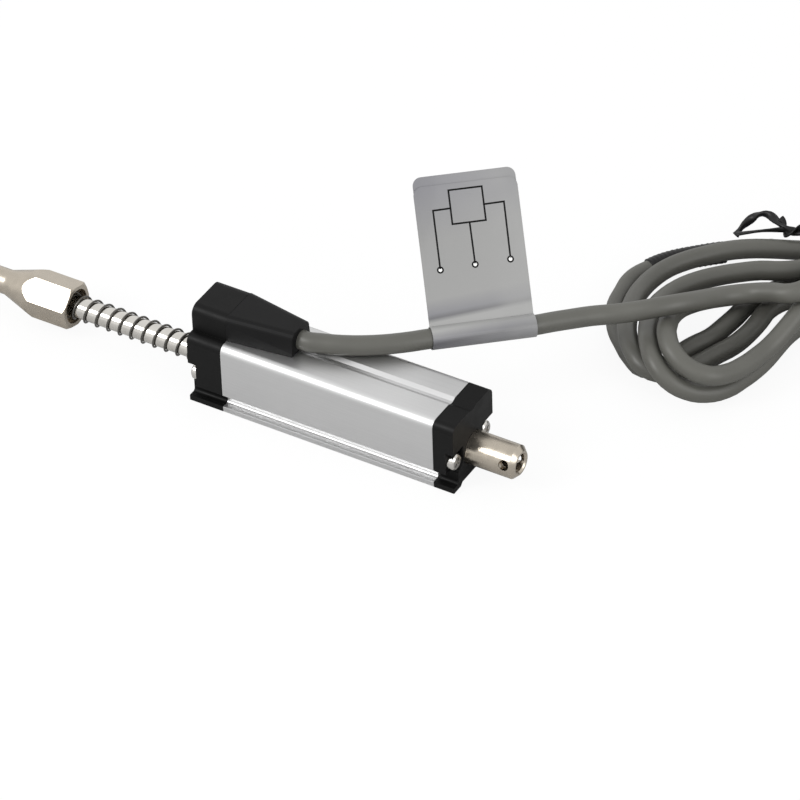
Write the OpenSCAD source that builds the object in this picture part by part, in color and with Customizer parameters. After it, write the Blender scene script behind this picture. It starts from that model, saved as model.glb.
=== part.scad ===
// Spring-return linear displacement sensor with a through rod, in millimetres.
// X runs along the rod towards its threaded rear end, Y is across, Z is up.
// The origin is under the middle of the sensor, on the surface that it stands on.

/* [Housing] */
// Width of the extruded body
body_w = 17.5; // [17:0.1:20]
// Height of the extruded body
body_h = 18.3; // [17.8:0.1:21]
// Length of the extruded body between its end caps
profile_l = 55; // [54:0.5:80]
// Wall over the track chamber and beside it
body_wall = 1.5; // [1.2:0.1:2]
// Radius of the two upper corners
corner_r = 2; // [1:0.1:2.6]
// Thickness of the clamping flange along each foot
flange_t = 1.4; // [1:0.1:2]
// Height of the groove above the clamping flange
groove_h = 3.2; // [2.4:0.1:3.4]
// Depth of the groove above the clamping flange
groove_d = 2.1; // [1.5:0.1:2.4]
// Width of each foot under the body
foot_w = 3; // [2:0.1:4]
// Depth of the relief between the feet
relief_d = 0.8; // [0.4:0.1:1]
// Width of the shallow groove along the top
top_groove_w = 3; // [2:0.1:4]
// Depth of the shallow groove along the top
top_groove_d = 0.5; // [0.3:0.1:0.7]

/* [Caps] */
// Length of the front cap, which carries the cable
front_cap_l = 8.8; // [8.4:0.1:12]
// Length of the rear cap
rear_cap_l = 5.2; // [5:0.1:7]
// Height of the rod axis above the base
axis_z = 7.3; // [7.2:0.1:7.5]
// Distance of the cap screws from the rod axis
screw_y = 6.5; // [6.35:0.05:6.6]
// Diameter of the screw heads
screw_head_d = 4; // [3.6:0.1:4.2]
// Height of the screw heads
screw_head_h = 1.7; // [1.2:0.1:1.8]
// Diameter of the screw shanks
screw_d = 1.8; // [1.4:0.1:2]
// Length of the screw shanks
screw_l = 10; // [8:0.5:14]
// Depth of the pockets for the screw heads
pocket_d = 2; // [1.9:0.1:2.3]
// Height of the top of these pockets above the base
pocket_top = 10.7; // [10:0.1:11]

/* [Cable outlet] */
// Width of the raised block on the front cap
block_w = 12; // [10:0.1:12.6]
// Height of the raised block above the body
block_h = 6.4; // [6.2:0.1:8]
// Length of the tapered cable boot
boot_l = 16.1; // [12:0.1:18]
// Width of the boot's foot at its small end
boot_end_w = 8; // [7:0.1:8.5]
// Width of the boot's ridge at its small end
boot_ridge_w = 7.4; // [6:0.1:7.8]
// Fall of the boot's ridge along its length
boot_fall = 0.5; // [0:0.1:1]

/* [Rod] */
// Diameter of the polished rod
rod_d = 5; // [4.4:0.1:5.2]
// Diameter of the rod's rear sleeve
sleeve_d = 8; // [7.6:0.1:8.2]
// Length of the rear sleeve that stands out at rest
sleeve_out = 12.2; // [10:0.1:15]
// Chamfer on the end of the rear sleeve
sleeve_chamfer = 1.1; // [0.4:0.1:1.2]
// Core diameter of the tapped hole in the rear sleeve
tap_d = 4.2; // [3.3:0.1:4.4]
// Depth of the tapped hole
tap_l = 10; // [8:0.5:14]
// Diameter of the cross hole through the rear sleeve
cross_hole_d = 2.5; // [2:0.1:2.8]
// Distance of the cross hole from the sleeve's end
cross_hole_in = 2.4; // [2.2:0.1:4]
// Turn of the cross hole above the horizontal
cross_hole_turn = 17; // [0:1:60]
// Working stroke of the rod
stroke = 25; // [15:1:26]

/* [Coupling and spring] */
// Width across the flats of the hexagon
hex_af = 10; // [9:0.1:11]
// Length of the hexagon
hex_l = 9.4; // [8:0.1:14]
// Turn of the hexagon about the rod
hex_turn = 14; // [0:1:59]
// Diameter of the bore in the hexagon's face
hex_bore_d = 8.3; // [7.8:0.1:8.6]
// Depth of that bore
hex_bore_l = 2.4; // [1.5:0.1:4]
// Length of the cone between hexagon and shank
cone_l = 9.1; // [6:0.1:12]
// Diameter of the shank
shank_d = 6; // [5:0.1:7]
// Length of the shank
shank_l = 12.5; // [6:0.1:16]
// Diameter of the contact ball
ball_d = 5; // [4:0.1:5.4]
// Free length of rod and spring between front cap and hexagon
spring_room = 35.7; // [35:0.1:45]
// Outer diameter of the return spring
spring_d = 6.2; // [6.1:0.1:6.6]
// Diameter of the spring wire
wire_d = 0.5; // [0.4:0.05:0.5]
// Number of the spring's open turns
spring_turns = 12; // [8:1:14]

/* [Measuring parts] */
// Thickness of the track board
board_t = 0.8; // [0.6:0.1:1]
// Width of each track
track_w = 2.6; // [1.5:0.1:3]
// Distance of each track from the middle of the board
track_y = 3.2; // [2.6:0.1:3.8]
// Length of the wiper carriage
carriage_l = 13.6; // [8:0.1:14]

/* [Cable] */
// Diameter of the cable
cable_d = 4.6; // [4.2:0.1:4.8]
// Width of the flag label along the cable
label_w = 24; // [18:0.5:26]
// Height of the flag label
label_h = 34; // [25:0.5:45]

/* [Hidden] */
$fn = 64;

// Clearances: a running fit, a fixed fit, a free gap and the cut-through of a tool
run_gap = 0.03;
fit_gap = 0.01;
free_gap = 0.3;
cut = 0.1;

// Places along X, from the contact ball to the end of the rear sleeve
total_l = ball_d / 2 + shank_l + cone_l + hex_l + spring_room
    + front_cap_l + profile_l + rear_cap_l + sleeve_out;
x_end = total_l / 2;
x_rear = x_end - sleeve_out;
x_back = x_rear - rear_cap_l;
x_front = x_back - profile_l;
x_nose = x_front - front_cap_l;
x_hex = x_nose - spring_room;
x_cone = x_hex - hex_l;
x_shank = x_cone - cone_l;
x_ball = x_shank - shank_l;

// The section of the body
groove_top = flange_t + groove_h;
slot_w = sleeve_d + 2 * free_gap;
chamber_w = body_w - 2 * body_wall;
chamber_z = groove_top + groove_h + 2;
chamber_top = body_h - top_groove_d - body_wall;
slot_floor = relief_d + 1.1;
board_slot = 0.45;
board_w = chamber_w + 2 * (board_slot - 0.1);
board_z = chamber_top - 1 - board_t;
screw_hole_d = screw_d + 0.1;

// Bearings at both ends of the rod
bushing_d = rod_d + 3.4;
front_bushing_l = 7.5;
wiper_l = 1.5;
bushing_seat = 6.3;
spring_seat_d = spring_d + 0.6;
spring_seat_l = 0.8;
rear_bushing_d = sleeve_d + 1.9;
rear_bushing_l = rear_cap_l - pocket_d;
buffer_l = 5.2;
clip_t = 0.8;
clip_groove = 0.3;
x_bushing = x_front - bushing_seat + wiper_l;
x_buffer = x_bushing + front_bushing_l;
x_clip = x_buffer + buffer_l + 0.1;
x_carriage = x_clip + clip_t + 0.05;
x_sleeve = x_carriage + carriage_l + 0.05;
finger_x = 2;
finger_l = 9;
x_tip = x_carriage + finger_x + finger_l - 0.5;
track_over = 5;
rod_in_hex = 8;
rod_in_sleeve = 4;

// The boot and the cable's outlet
boot_plug_l = 3.8;
boot_x = x_front + boot_l;
cavity_w = 6.4;
cavity_z = body_h + 1.1;
cavity_h = 4.2;
block_r = 2.2;
boot_r = 1.8;
head_edge = 0.4;
slot_w_screw = 0.5;
slot_d_screw = 0.8;
wire_in_d = 0.8;
seam = 0.05;

// The cable's route from the boot to its first turn
cable_z = 20.8;
cable_route = [
    [boot_x + 0.05, 0, cable_z], [boot_x + 2, 0, cable_z], [23, 0.7, cable_z],
    [28, 2.6, cable_z], [34, 6, 20.7], [39.5, 10.2, 20.6], [44, 14.6, 20.4], [48.24, 18.77, 20.05],
    [52.48, 22.94, 19.7], [56.72, 27.1, 19.35], [60.97, 31.27, 19], [63.45, 34.8, 18.4],
    [66.1, 38.55, 17.65]
];

// The wound turns, from the top one down, to where the cable's tail comes out of them
coil_route = [
    [66.15, 38.62, 17.63], [69.2, 42.9, 16.7], [73, 46.2, 16.4], [77.2, 48.6, 17.1], [81.5, 51.1, 18.1],
    [84.9, 54.6, 18], [87.1, 58.9, 16.7], [88.9, 63.4, 15.1], [91.4, 67.5, 14], [95.4, 70.3, 14.2],
    [100.1, 70.8, 15.8], [104.9, 70.8, 17.3], [108, 74.1, 18.1], [108.9, 78.9, 18.5],
    [109.4, 83.9, 18.7], [109.8, 88.9, 18.8], [110.1, 93.9, 18.8], [110.7, 98.8, 18.7],
    [112.3, 103.4, 18], [115, 107.4, 16.4], [117.3, 111.7, 15.7], [119.4, 116.3, 15.8],
    [120.9, 121, 16.3], [122.3, 125.8, 16.5], [123.4, 130.6, 16.3], [124.5, 135.5, 16],
    [125.6, 140.4, 15.6], [126.8, 145.2, 14.9], [128.2, 149.9, 14], [129.9, 154.5, 13.1],
    [132, 158.9, 12.1], [134.4, 163.3, 11.4], [137, 167.5, 10.9], [140.1, 171.4, 10.5],
    [144.2, 174.1, 10.3], [149.1, 174.5, 10.2], [153.7, 172.7, 10.2], [157, 168.9, 10.3],
    [158.1, 164.1, 10.3], [156.9, 159.3, 10.5], [154.5, 154.9, 10.6], [151.8, 150.7, 10.6],
    [149, 146.6, 10.9], [146.1, 142.5, 11.4], [143, 138.6, 11.9], [139.8, 134.8, 12.3],
    [136.6, 131, 12.5], [133.3, 127.2, 12.7], [130, 123.4, 12.6], [126.8, 119.6, 12.4],
    [123.7, 115.7, 12.2], [120.7, 111.7, 11.8], [117.9, 107.6, 11.4], [115.3, 103.4, 11.5],
    [112.8, 99.4, 13.2], [110.5, 95, 13.8], [108.4, 90.4, 14], [107.3, 85.6, 14], [107, 80.6, 13.8],
    [107.1, 75.6, 13.4], [107.1, 70.7, 12.6], [106, 66.4, 10.4], [104.6, 62.1, 8.3],
    [103.4, 57.4, 7.7], [102.3, 52.5, 7.9], [100.8, 47.8, 8.7], [98.2, 43.8, 10.1], [93.6, 42.9, 11.3],
    [89.2, 44, 13.4], [85.9, 47.5, 14.2], [83.7, 51.9, 13.4], [82.1, 56.4, 11.9], [81.2, 61, 10.2],
    [81.4, 65.7, 8.7], [83.5, 70.1, 7.9], [87, 73.7, 7.7], [91, 76.7, 7.9], [95.4, 79, 8.3],
    [100.2, 80.2, 8.8], [103.6, 83.5, 9.3], [105.2, 88.2, 9.6], [106.5, 93, 9.9], [107.7, 97.9, 10.1],
    [109.1, 102.6, 10.2], [111.8, 106.9, 10], [114.4, 111.2, 10.1], [116.4, 115.7, 10.7],
    [118, 120.4, 11.3], [119.2, 125.2, 11.8], [120.2, 130.1, 12.2], [121, 135, 12.3],
    [121.8, 140, 12.2], [122.7, 144.9, 12], [123.7, 149.8, 11.6], [125, 154.5, 11.1],
    [126.8, 159.2, 10.5], [129, 163.6, 10], [131.5, 168, 9.6], [134.3, 172.1, 9.3],
    [137.7, 175.8, 9.2], [141.9, 178.4, 9.1], [146.8, 179.4, 9.1], [151.7, 178.8, 9],
    [156.2, 176.7, 9], [159.8, 173.3, 9.1], [162.1, 168.9, 9.1], [162.9, 164, 9.1],
    [161.9, 159.1, 9.2], [159.9, 154.5, 9.2], [157.3, 150.3, 9.1], [154.5, 146.1, 9.2],
    [151.5, 142.1, 9.4], [148.4, 138.2, 9.6], [145.1, 134.5, 9.6], [141.6, 130.8, 9.5],
    [138.1, 127.3, 9.3], [134.6, 123.7, 9], [131.2, 120.1, 8.5], [127.8, 116.5, 7.7],
    [124.6, 112.8, 6.9], [121.7, 108.8, 6], [118.9, 104.7, 5.4], [116.3, 100.5, 5.4],
    [113.7, 96.2, 5.1], [111.3, 91.8, 4.6], [108.8, 87.5, 4], [106.4, 83.2, 3.4], [104.2, 78.7, 2.9],
    [102.8, 74, 2.5], [102.6, 69, 2.5], [102.6, 64, 2.5], [102.2, 59, 2.6], [101.2, 54.1, 2.7],
    [99.9, 49.3, 3], [97.2, 45.2, 3.7], [93.8, 42, 5.5], [89.9, 40.4, 8.2], [85.9, 41.8, 10.5],
    [82.6, 45.5, 11], [79.9, 49.6, 10.3], [77.6, 54, 9.2], [75.8, 58.4, 8.1], [74.4, 63.1, 7],
    [74, 68, 6.1], [75, 72.9, 5.9], [77.6, 77.1, 6.2], [81.1, 80.6, 6.6], [85, 83.8, 6.9],
    [89.2, 86.4, 7.3], [93.8, 88.3, 7.6], [97.9, 91, 8], [100.5, 95.2, 8.3], [102.6, 99.8, 8.5],
    [104.6, 104.3, 8.7], [107.2, 108.6, 8.7], [109.9, 112.9, 8.5], [112.2, 117.3, 8.4],
    [114.2, 121.9, 8.4], [115.9, 126.6, 8.5], [117.4, 131.3, 8.3], [118.8, 136.1, 8],
    [120.1, 140.9, 7.6], [121.5, 145.7, 7.2], [123.1, 150.4, 6.6], [124.8, 155.1, 6],
    [126.9, 159.6, 5.4], [129.2, 164, 4.9], [131.7, 168.3, 4.6], [134.6, 172.4, 4.4], [138, 176, 4.2],
    [142.3, 178.5, 4.1], [147.2, 179.4, 4.1], [152.1, 178.7, 4.1], [156.6, 176.5, 4.1],
    [160.1, 173, 4.1], [162.2, 168.5, 4.2], [162.9, 163.6, 4.2], [161.8, 158.7, 4.3],
    [159.7, 154.2, 4.3], [157.1, 149.9, 4.2], [154.2, 145.8, 4.2], [151.1, 141.9, 4.4],
    [147.7, 138.2, 4.5], [144, 134.9, 4.7], [140.2, 131.6, 4.8], [136.3, 128.5, 4.9],
    [132.4, 125.4, 4.9], [128.5, 122.3, 4.8], [124.7, 118.9, 4.7], [121.2, 115.5, 4.4],
    [117.9, 111.7, 4.2], [115, 107.6, 4.1], [112.4, 103.3, 4.1], [109.6, 99.2, 4], [106.6, 95.2, 3.9],
    [103.5, 91.3, 3.7], [100.2, 87.5, 3.6], [97, 83.7, 3.4], [95.1, 79.2, 3.1], [95.1, 74.2, 2.9],
    [94.9, 69.2, 2.8], [94, 64.3, 2.7], [92.3, 59.6, 2.8], [90.7, 54.8, 3], [89.1, 50.1, 3.6],
    [86.3, 46.1, 4.4], [81.9, 44.4, 5.7], [77.8, 46.6, 7], [74.4, 50.3, 7.3], [71.8, 54.5, 7.1],
    [69.9, 59.1, 6.7], [68.4, 63.9, 6.2], [67.6, 68.8, 5.7], [67.7, 73.7, 5.5], [69.2, 78.5, 5.9],
    [72, 82.6, 6.4], [75.3, 86.3, 6.7], [78.8, 89.9, 6.8], [82.7, 93, 6.7], [86.9, 95.7, 6.4],
    [91.3, 98.2, 6], [95.5, 100.9, 5.5], [99.6, 103.6, 4.9], [103.4, 106.8, 4.4], [105.9, 111.1, 4.2],
    [108.6, 115.4, 4.2], [111.1, 119.7, 3.9], [113.5, 124, 3.6], [115.8, 128.5, 3.4],
    [118.1, 132.9, 3.2], [120.3, 137.4, 3.1], [122.6, 141.8, 3], [124.9, 146.3, 3], [127.2, 150.7, 3],
    [129.6, 155.1, 3], [132.1, 159.4, 3], [134.7, 163.7, 3], [137.3, 168, 3], [140.5, 171.9, 3],
    [144.8, 174.3, 3], [149.7, 174.4, 3], [154.2, 172.3, 3], [157.2, 168.4, 3], [158.1, 163.5, 3],
    [156.6, 158.7, 2.9], [154.2, 154.4, 2.9], [151.4, 150.2, 2.9], [148.5, 146.2, 2.9],
    [145.2, 142.4, 2.9], [141.6, 138.9, 2.9], [137.9, 135.6, 2.9], [134, 132.5, 2.9],
    [130.1, 129.4, 2.9], [126.2, 126.2, 2.9], [122.3, 123, 2.9], [118.7, 119.6, 2.9],
    [115.3, 115.9, 2.9], [112.2, 112, 2.9], [109.5, 107.8, 2.9], [106.8, 103.6, 2.8],
    [103.5, 99.9, 2.7], [100, 96.3, 2.6], [96.7, 92.5, 2.5], [93.7, 88.5, 2.4], [91.3, 84.1, 2.4],
    [89.6, 79.4, 2.3], [89.3, 74.4, 2.3], [88.7, 69.5, 2.3], [87.8, 64.5, 2.3], [85.8, 60, 2.3],
    [84.5, 55.3, 2.3], [83.8, 50.4, 2.3], [79.9, 47.8, 2.3], [75.5, 49.9, 2.3], [71.7, 53.2, 2.3],
    [68.1, 56.7, 2.3], [65.3, 60.8, 2.3], [63.2, 65.3, 2.3], [62.3, 70.2, 2.3]
];
tail_route = [
    [62.28, 70.32, 2.3], [61.9, 72.9, 2.35], [62.3, 76.3, 2.5], [63.8, 79.6, 2.65]
];
sleeve_route = [
    [63.83, 79.7, 2.65], [65.1, 82.3, 2.65], [66.7, 84.7, 2.65], [68.7, 87, 2.65],
    [71, 89.3, 2.65], [73.4, 91.6, 2.65], [76, 93.9, 2.65]
];
core_spread = 0.8;
core_d = 1.3;
core_l = 12;
core_gap = 0.25;

// The tie at the waist of the wound turns, and the turns' places inside it
strap_t = 0.4;
strap_w = 4;
strap_gap = 0.12;
tie_tail_d = 1.4;
hank_x = 85;
hank_y = 64;
hank_turn = 58;
tie_u = 50;
tie_turns = [
    [2.3, 2.9], [2.5, 2.9], [7.1, 4.2], [7.2, 4.3], [-2.4, 4.1], [4.8, 8.7], [-7.2, 5.4],
    [0, 10.1], [-4.75, 12.2], [-4.8, 11.2], [-2.2, 18.1], [-2.45, 16.5]
];
tie_tail = [
    [49.5, 7.35, 10.45], [47, 7.9, 10.2], [44.5, 8.7, 10], [41, 9.9, 10.2], [37.8, 11.6, 10],
    [34.7, 14, 9.5], [32.7, 16.1, 9.6],
    [32, 19.1, 10], [31.6, 21.8, 10.2], [30.5, 23.8, 9.8], [29, 25, 8.6], [26.6, 25.6, 6.6],
    [24.6, 25.6, 4.6]
];

// Points of a sweep: rings of sides corners, each square to the route
function unit(v) = v / norm(v);
function along(p, i) = unit(p[min(i + 1, len(p) - 1)] - p[max(i - 1, 0)]);
function level(t) = unit([-t.y, t.x, 0]);
function ring(c, t, d, sides) = [
    for (k = [0:sides - 1])
        let (a = 360 * (k + 0.5) / sides, s = level(t), w = cross(t, s))
        c + d / 2 * (cos(a) * s + sin(a) * w)
];

// A round tube swept along a list of points, closed at both ends
module tube(p, d, sides) {
    rings = [for (i = [0:len(p) - 1]) each ring(p[i], along(p, i), d, sides)];
    last = (len(p) - 1) * sides;
    faces = [
        [for (k = [0:sides - 1]) k],
        for (i = [0:len(p) - 2], k = [0:sides - 1])
            [i * sides + k, (i + 1) * sides + k, (i + 1) * sides + (k + 1) % sides,
                i * sides + (k + 1) % sides],
        [for (k = [sides - 1:-1:0]) last + k]
    ];
    polyhedron(points = rings, faces = faces, convexity = 10);
}

// Extrudes a section drawn as width and height, from x onwards along X
module along_x(x, l) {
    translate([x, 0, 0])
        rotate([90, 0, 90])
            linear_extrude(height = l)
                children();
}

// A round bar along the rod axis, from x onwards
module bar(x, l, d) {
    translate([x, 0, axis_z])
        rotate([0, 90, 0])
            cylinder(h = l, d = d);
}

// A cone along the rod axis, from diameter d1 at x to d2
module taper(x, l, d1, d2) {
    translate([x, 0, axis_z])
        rotate([0, 90, 0])
            cylinder(h = l, d1 = d1, d2 = d2);
}

// A rectangle with round upper corners, standing on the line z
module arch(w, z, h, r) {
    translate([-w / 2, z])
        square([w, h - r]);
    translate([r - w / 2, z])
        square([w - 2 * r, h]);
    for (side = [-1, 1])
        translate([side * (w / 2 - r), z + h - r])
            circle(r);
}

// One side groove: square with a round inner lower corner
module side_groove() {
    r = 0.7;
    translate([body_w / 2 - groove_d + r, flange_t])
        square([groove_d - r + cut, groove_h]);
    translate([body_w / 2 - groove_d, flange_t + r])
        square([r + cut, groove_h - r]);
    translate([body_w / 2 - groove_d + r, flange_t + r])
        circle(r);
}

// Outer form of the body and its caps
module body_form() {
    slope = relief_d;
    foot_in = body_w / 2 - foot_w;
    difference() {
        arch(body_w, 0, body_h, corner_r);
        for (side = [0, 1])
            mirror([side, 0])
                side_groove();
        polygon([[-foot_in, -cut], [-foot_in, 0], [slope - foot_in, relief_d],
            [foot_in - slope, relief_d], [foot_in, 0], [foot_in, -cut]]);
        polygon([[-top_groove_w / 2, body_h + cut], [-top_groove_w / 2, body_h],
            [-0.4, body_h - top_groove_d], [0.4, body_h - top_groove_d],
            [top_groove_w / 2, body_h], [top_groove_w / 2, body_h + cut]]);
    }
}

// The space inside the extrusion: rod slot, track chamber and board slots
module chamber_form() {
    translate([-slot_w / 2, slot_floor])
        square([slot_w, chamber_z - slot_floor + cut]);
    translate([-chamber_w / 2, chamber_z])
        square([chamber_w, chamber_top - chamber_z]);
    translate([-chamber_w / 2 - board_slot, board_z - 0.1])
        square([chamber_w + 2 * board_slot, board_t + 0.2]);
}

module housing_profile() {
    color("silver")
        difference() {
            along_x(x_front, profile_l)
                body_form();
            along_x(x_front - cut, profile_l + 2 * cut)
                chamber_form();
            for (side = [-1, 1])
                translate([0, side * screw_y, 0])
                    bar(x_front - cut, profile_l + 2 * cut, screw_hole_d);
        }
}

// A pocket for a screw head, open to the side, with its bore for the shank
module screw_pocket(side, x_floor, out) {
    l = pocket_d + cut;
    r = screw_head_d / 2 + 0.15;
    x = out > 0 ? x_floor : x_floor - l;
    translate([0, side * screw_y, 0]) {
        bar(x, l, 2 * r);
        bar(min(x_front, x_nose) - 1, front_cap_l + 2, screw_hole_d);
        bar(x_back - 1, rear_cap_l + 2, screw_hole_d);
    }
    along_x(x, l)
        translate([side > 0 ? screw_y : -body_w / 2 - cut, groove_top - cut])
            square([body_w / 2 - screw_y + cut, pocket_top - groove_top + cut]);
    along_x(x, l)
        translate([side * screw_y - r, axis_z])
            square([2 * r, pocket_top - axis_z]);
}

module front_cap() {
    color("#202022")
        difference() {
            union() {
                along_x(x_nose, front_cap_l)
                    body_form();
                along_x(x_nose, front_cap_l)
                    arch(block_w, body_h - top_groove_d - 0.2, block_h + top_groove_d + 0.2, block_r);
            }
            bar(x_nose - cut, front_cap_l + 2 * cut, rod_d + 0.4);
            bar(x_nose - cut, spring_seat_l + cut, spring_seat_d);
            bar(x_front - bushing_seat, bushing_seat + cut, bushing_d + 2 * fit_gap);
            for (side = [-1, 1])
                screw_pocket(side, x_nose + pocket_d, -1);
            translate([x_front - boot_plug_l - 2, -cavity_w / 2, cavity_z])
                cube([boot_plug_l + 2 + cut, cavity_w, cavity_h]);
            translate([x_front - boot_plug_l - 2, -cavity_w / 2, board_z - 1])
                cube([2, cavity_w, cavity_z - board_z + 1 + cut]);
            translate([x_front - boot_plug_l - 2, -cavity_w / 2, board_z - 1])
                cube([boot_plug_l + 2 + cut, cavity_w, chamber_top - board_z + 1]);
        }
}

module rear_cap() {
    color("#202022")
        difference() {
            along_x(x_back, rear_cap_l)
                body_form();
            bar(x_back - cut, rear_cap_l + 2 * cut, sleeve_d + 2 * 0.06);
            bar(x_back - cut, rear_bushing_l + cut, rear_bushing_d + 2 * fit_gap);
            for (side = [-1, 1])
                screw_pocket(side, x_rear - pocket_d, 1);
        }
}

// Section of the boot: a foot on the body and a narrower ridge
module boot_section(x, foot, ridge, h) {
    along_x(x, 0.1)
        hull() {
            translate([-foot / 2, body_h + seam])
                square([foot, 1]);
            for (side = [-1, 1])
                translate([side * (ridge / 2 - boot_r), body_h + h - boot_r])
                    circle(boot_r, $fn = 32);
        }
}

module cable_boot() {
    color("#26262a")
        union() {
            hull() {
                boot_section(x_front, block_w - 0.1, block_w - 0.1, block_h - 0.05);
                boot_section(boot_x - 0.1, boot_end_w, boot_ridge_w, block_h - boot_fall);
            }
            translate([x_front - boot_plug_l, -cavity_w / 2 + seam, cavity_z + seam])
                cube([boot_plug_l + 0.05, cavity_w - 2 * seam, cavity_h - 2 * seam]);
        }
}

// A plain round bushing or ring about the rod axis
module bushing(x, l, outer, inner) {
    difference() {
        bar(x, l, outer);
        bar(x - cut, l + 2 * cut, inner);
    }
}

module front_bushing() {
    color("#b08d4a")
        bushing(x_bushing, front_bushing_l, bushing_d, rod_d + 2 * run_gap);
}

module rear_bushing() {
    color("#b08d4a")
        bushing(x_back, rear_bushing_l, rear_bushing_d, sleeve_d + 2 * run_gap);
}

module rod_wiper() {
    color("#3a3a36")
        bushing(x_bushing - wiper_l, wiper_l, bushing_d, rod_d + 2 * run_gap);
}

module front_buffer() {
    color("#2b2b2b")
        bushing(x_buffer, buffer_l, bushing_d - 0.4, rod_d + 0.8);
}

// A pan head screw: its head on the pocket floor at x, its shank into the extrusion
module cap_screw(side, x, out) {
    head_r = screw_head_d / 2;
    slot_l = screw_head_d * 0.55;
    color("#c9c8c2")
        translate([x, side * screw_y, axis_z])
            rotate([0, out * 90, 0])
                difference() {
                    rotate_extrude()
                        polygon([[0, -screw_l], [screw_d / 2, -screw_l], [screw_d / 2, 0], [head_r, 0],
                            [head_r, screw_head_h - head_edge], [head_r - head_edge, screw_head_h],
                            [0, screw_head_h]]);
                    for (turn = [45, 135])
                        rotate([0, 0, turn])
                            translate([-slot_l / 2, -slot_w_screw / 2, screw_head_h - slot_d_screw])
                                cube([slot_l, slot_w_screw, slot_d_screw + cut]);
                }
}

module front_screw_near() {
    cap_screw(-1, x_nose + pocket_d, -1);
}

module front_screw_far() {
    cap_screw(1, x_nose + pocket_d, -1);
}

module rear_screw_near() {
    cap_screw(-1, x_rear - pocket_d, 1);
}

module rear_screw_far() {
    cap_screw(1, x_rear - pocket_d, 1);
}

module track_board() {
    color("#2f6b46")
        translate([x_front + 0.4, -board_w / 2, board_z])
            cube([profile_l - 0.8, board_w, board_t]);
}

// A printed track on the underside of the board
module track(side) {
    translate([x_tip - track_over, side * track_y - track_w / 2, board_z - 0.1])
        cube([stroke + 2 * track_over, track_w, 0.1]);
}

module resistive_track() {
    color("#2a2a2a")
        track(-1);
}

module collector_track() {
    color("#c08a3c")
        track(1);
}

// One lead from the boot's plug down into the chamber, to the top of the board
module lead_wire(y) {
    x0 = x_front - boot_plug_l;
    z1 = board_z + board_t + wire_in_d / 2;
    tube([
        [x0, y, cavity_z + 2.4], [x0 - 0.5, y, cavity_z + 2.3], [x0 - 0.9, y, cavity_z + 1.9],
        [x0 - 1.1, y, cavity_z + 1.2], [x0 - 1.1, y, z1 + 1.2], [x0 - 0.9, y, z1 + 0.5],
        [x0 - 0.4, y, z1 + 0.1], [x0 + 0.3, y, z1], [x_front + 4.5, y, z1]
    ], wire_in_d, 8);
}

module wire_brown() {
    color("#6b4226")
        lead_wire(-1.9);
}

module wire_black() {
    color("#1b1b1b")
        lead_wire(0);
}

module wire_blue() {
    color("#2f5f9e")
        lead_wire(1.9);
}

// The carriage runs in the rod slot and its wings in the track chamber
wing_z = chamber_z + 0.4;
wing_t = 2;
module wiper_carriage() {
    color("#e4e0d2")
        difference() {
            union() {
                translate([x_carriage, -slot_w / 2 + 0.2, axis_z - sleeve_d / 2])
                    cube([carriage_l, slot_w - 0.4, wing_z - axis_z + sleeve_d / 2 + 1]);
                translate([x_carriage, -chamber_w / 2 + free_gap, wing_z])
                    cube([carriage_l, chamber_w - 2 * free_gap, wing_t]);
            }
            bar(x_carriage - cut, carriage_l + 2 * cut, rod_d + 2 * run_gap);
        }
}

// A bent strip from the carriage's wing up to its track
module wiper_finger(side) {
    t = 0.2;
    foot = finger_l / 3;
    tip = finger_l - 1;
    rise = board_z - 0.1 - run_gap - wing_z - wing_t;
    color("#c9a24a")
        translate([x_carriage + finger_x, side * track_y + 0.8, wing_z + wing_t])
            rotate([90, 0, 0])
                linear_extrude(height = 1.6)
                    polygon([[0, 0], [foot, 0], [tip, rise - t], [finger_l, rise - t],
                        [finger_l, rise], [tip - 0.1, rise], [foot - 0.1, t], [0, t]]);
}

module wiper_finger_near() {
    wiper_finger(-1);
}

module wiper_finger_far() {
    wiper_finger(1);
}

module push_rod() {
    color("#d8d8d4")
        difference() {
            bar(x_hex - rod_in_hex, x_sleeve + rod_in_sleeve - x_hex + rod_in_hex, rod_d);
            difference() {
                bar(x_clip, clip_t, rod_d + 1);
                bar(x_clip - cut, clip_t + 2 * cut, rod_d - 2 * clip_groove);
            }
        }
}

module rod_clip() {
    color("#8d8d88")
        bushing(x_clip + 0.01, clip_t - 0.02, bushing_d - 0.4, rod_d - 2 * clip_groove + 2 * fit_gap);
}

module rod_end_sleeve() {
    color("#c8c5ba")
        difference() {
            union() {
                bar(x_sleeve, x_end - sleeve_chamfer - x_sleeve, sleeve_d);
                taper(x_end - sleeve_chamfer, sleeve_chamfer, sleeve_d, sleeve_d - 2 * sleeve_chamfer);
            }
            bar(x_sleeve - cut, rod_in_sleeve + 0.1 + cut, rod_d + 2 * fit_gap);
            bar(x_end - tap_l, tap_l + cut, tap_d);
            taper(x_end - 0.4, 0.4 + 0.01, tap_d, tap_d + 0.8);
            translate([x_end - cross_hole_in, 0, axis_z])
                rotate([90 - cross_hole_turn, 0, 0])
                    cylinder(h = sleeve_d + 2, d = cross_hole_d, center = true);
        }
}

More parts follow.
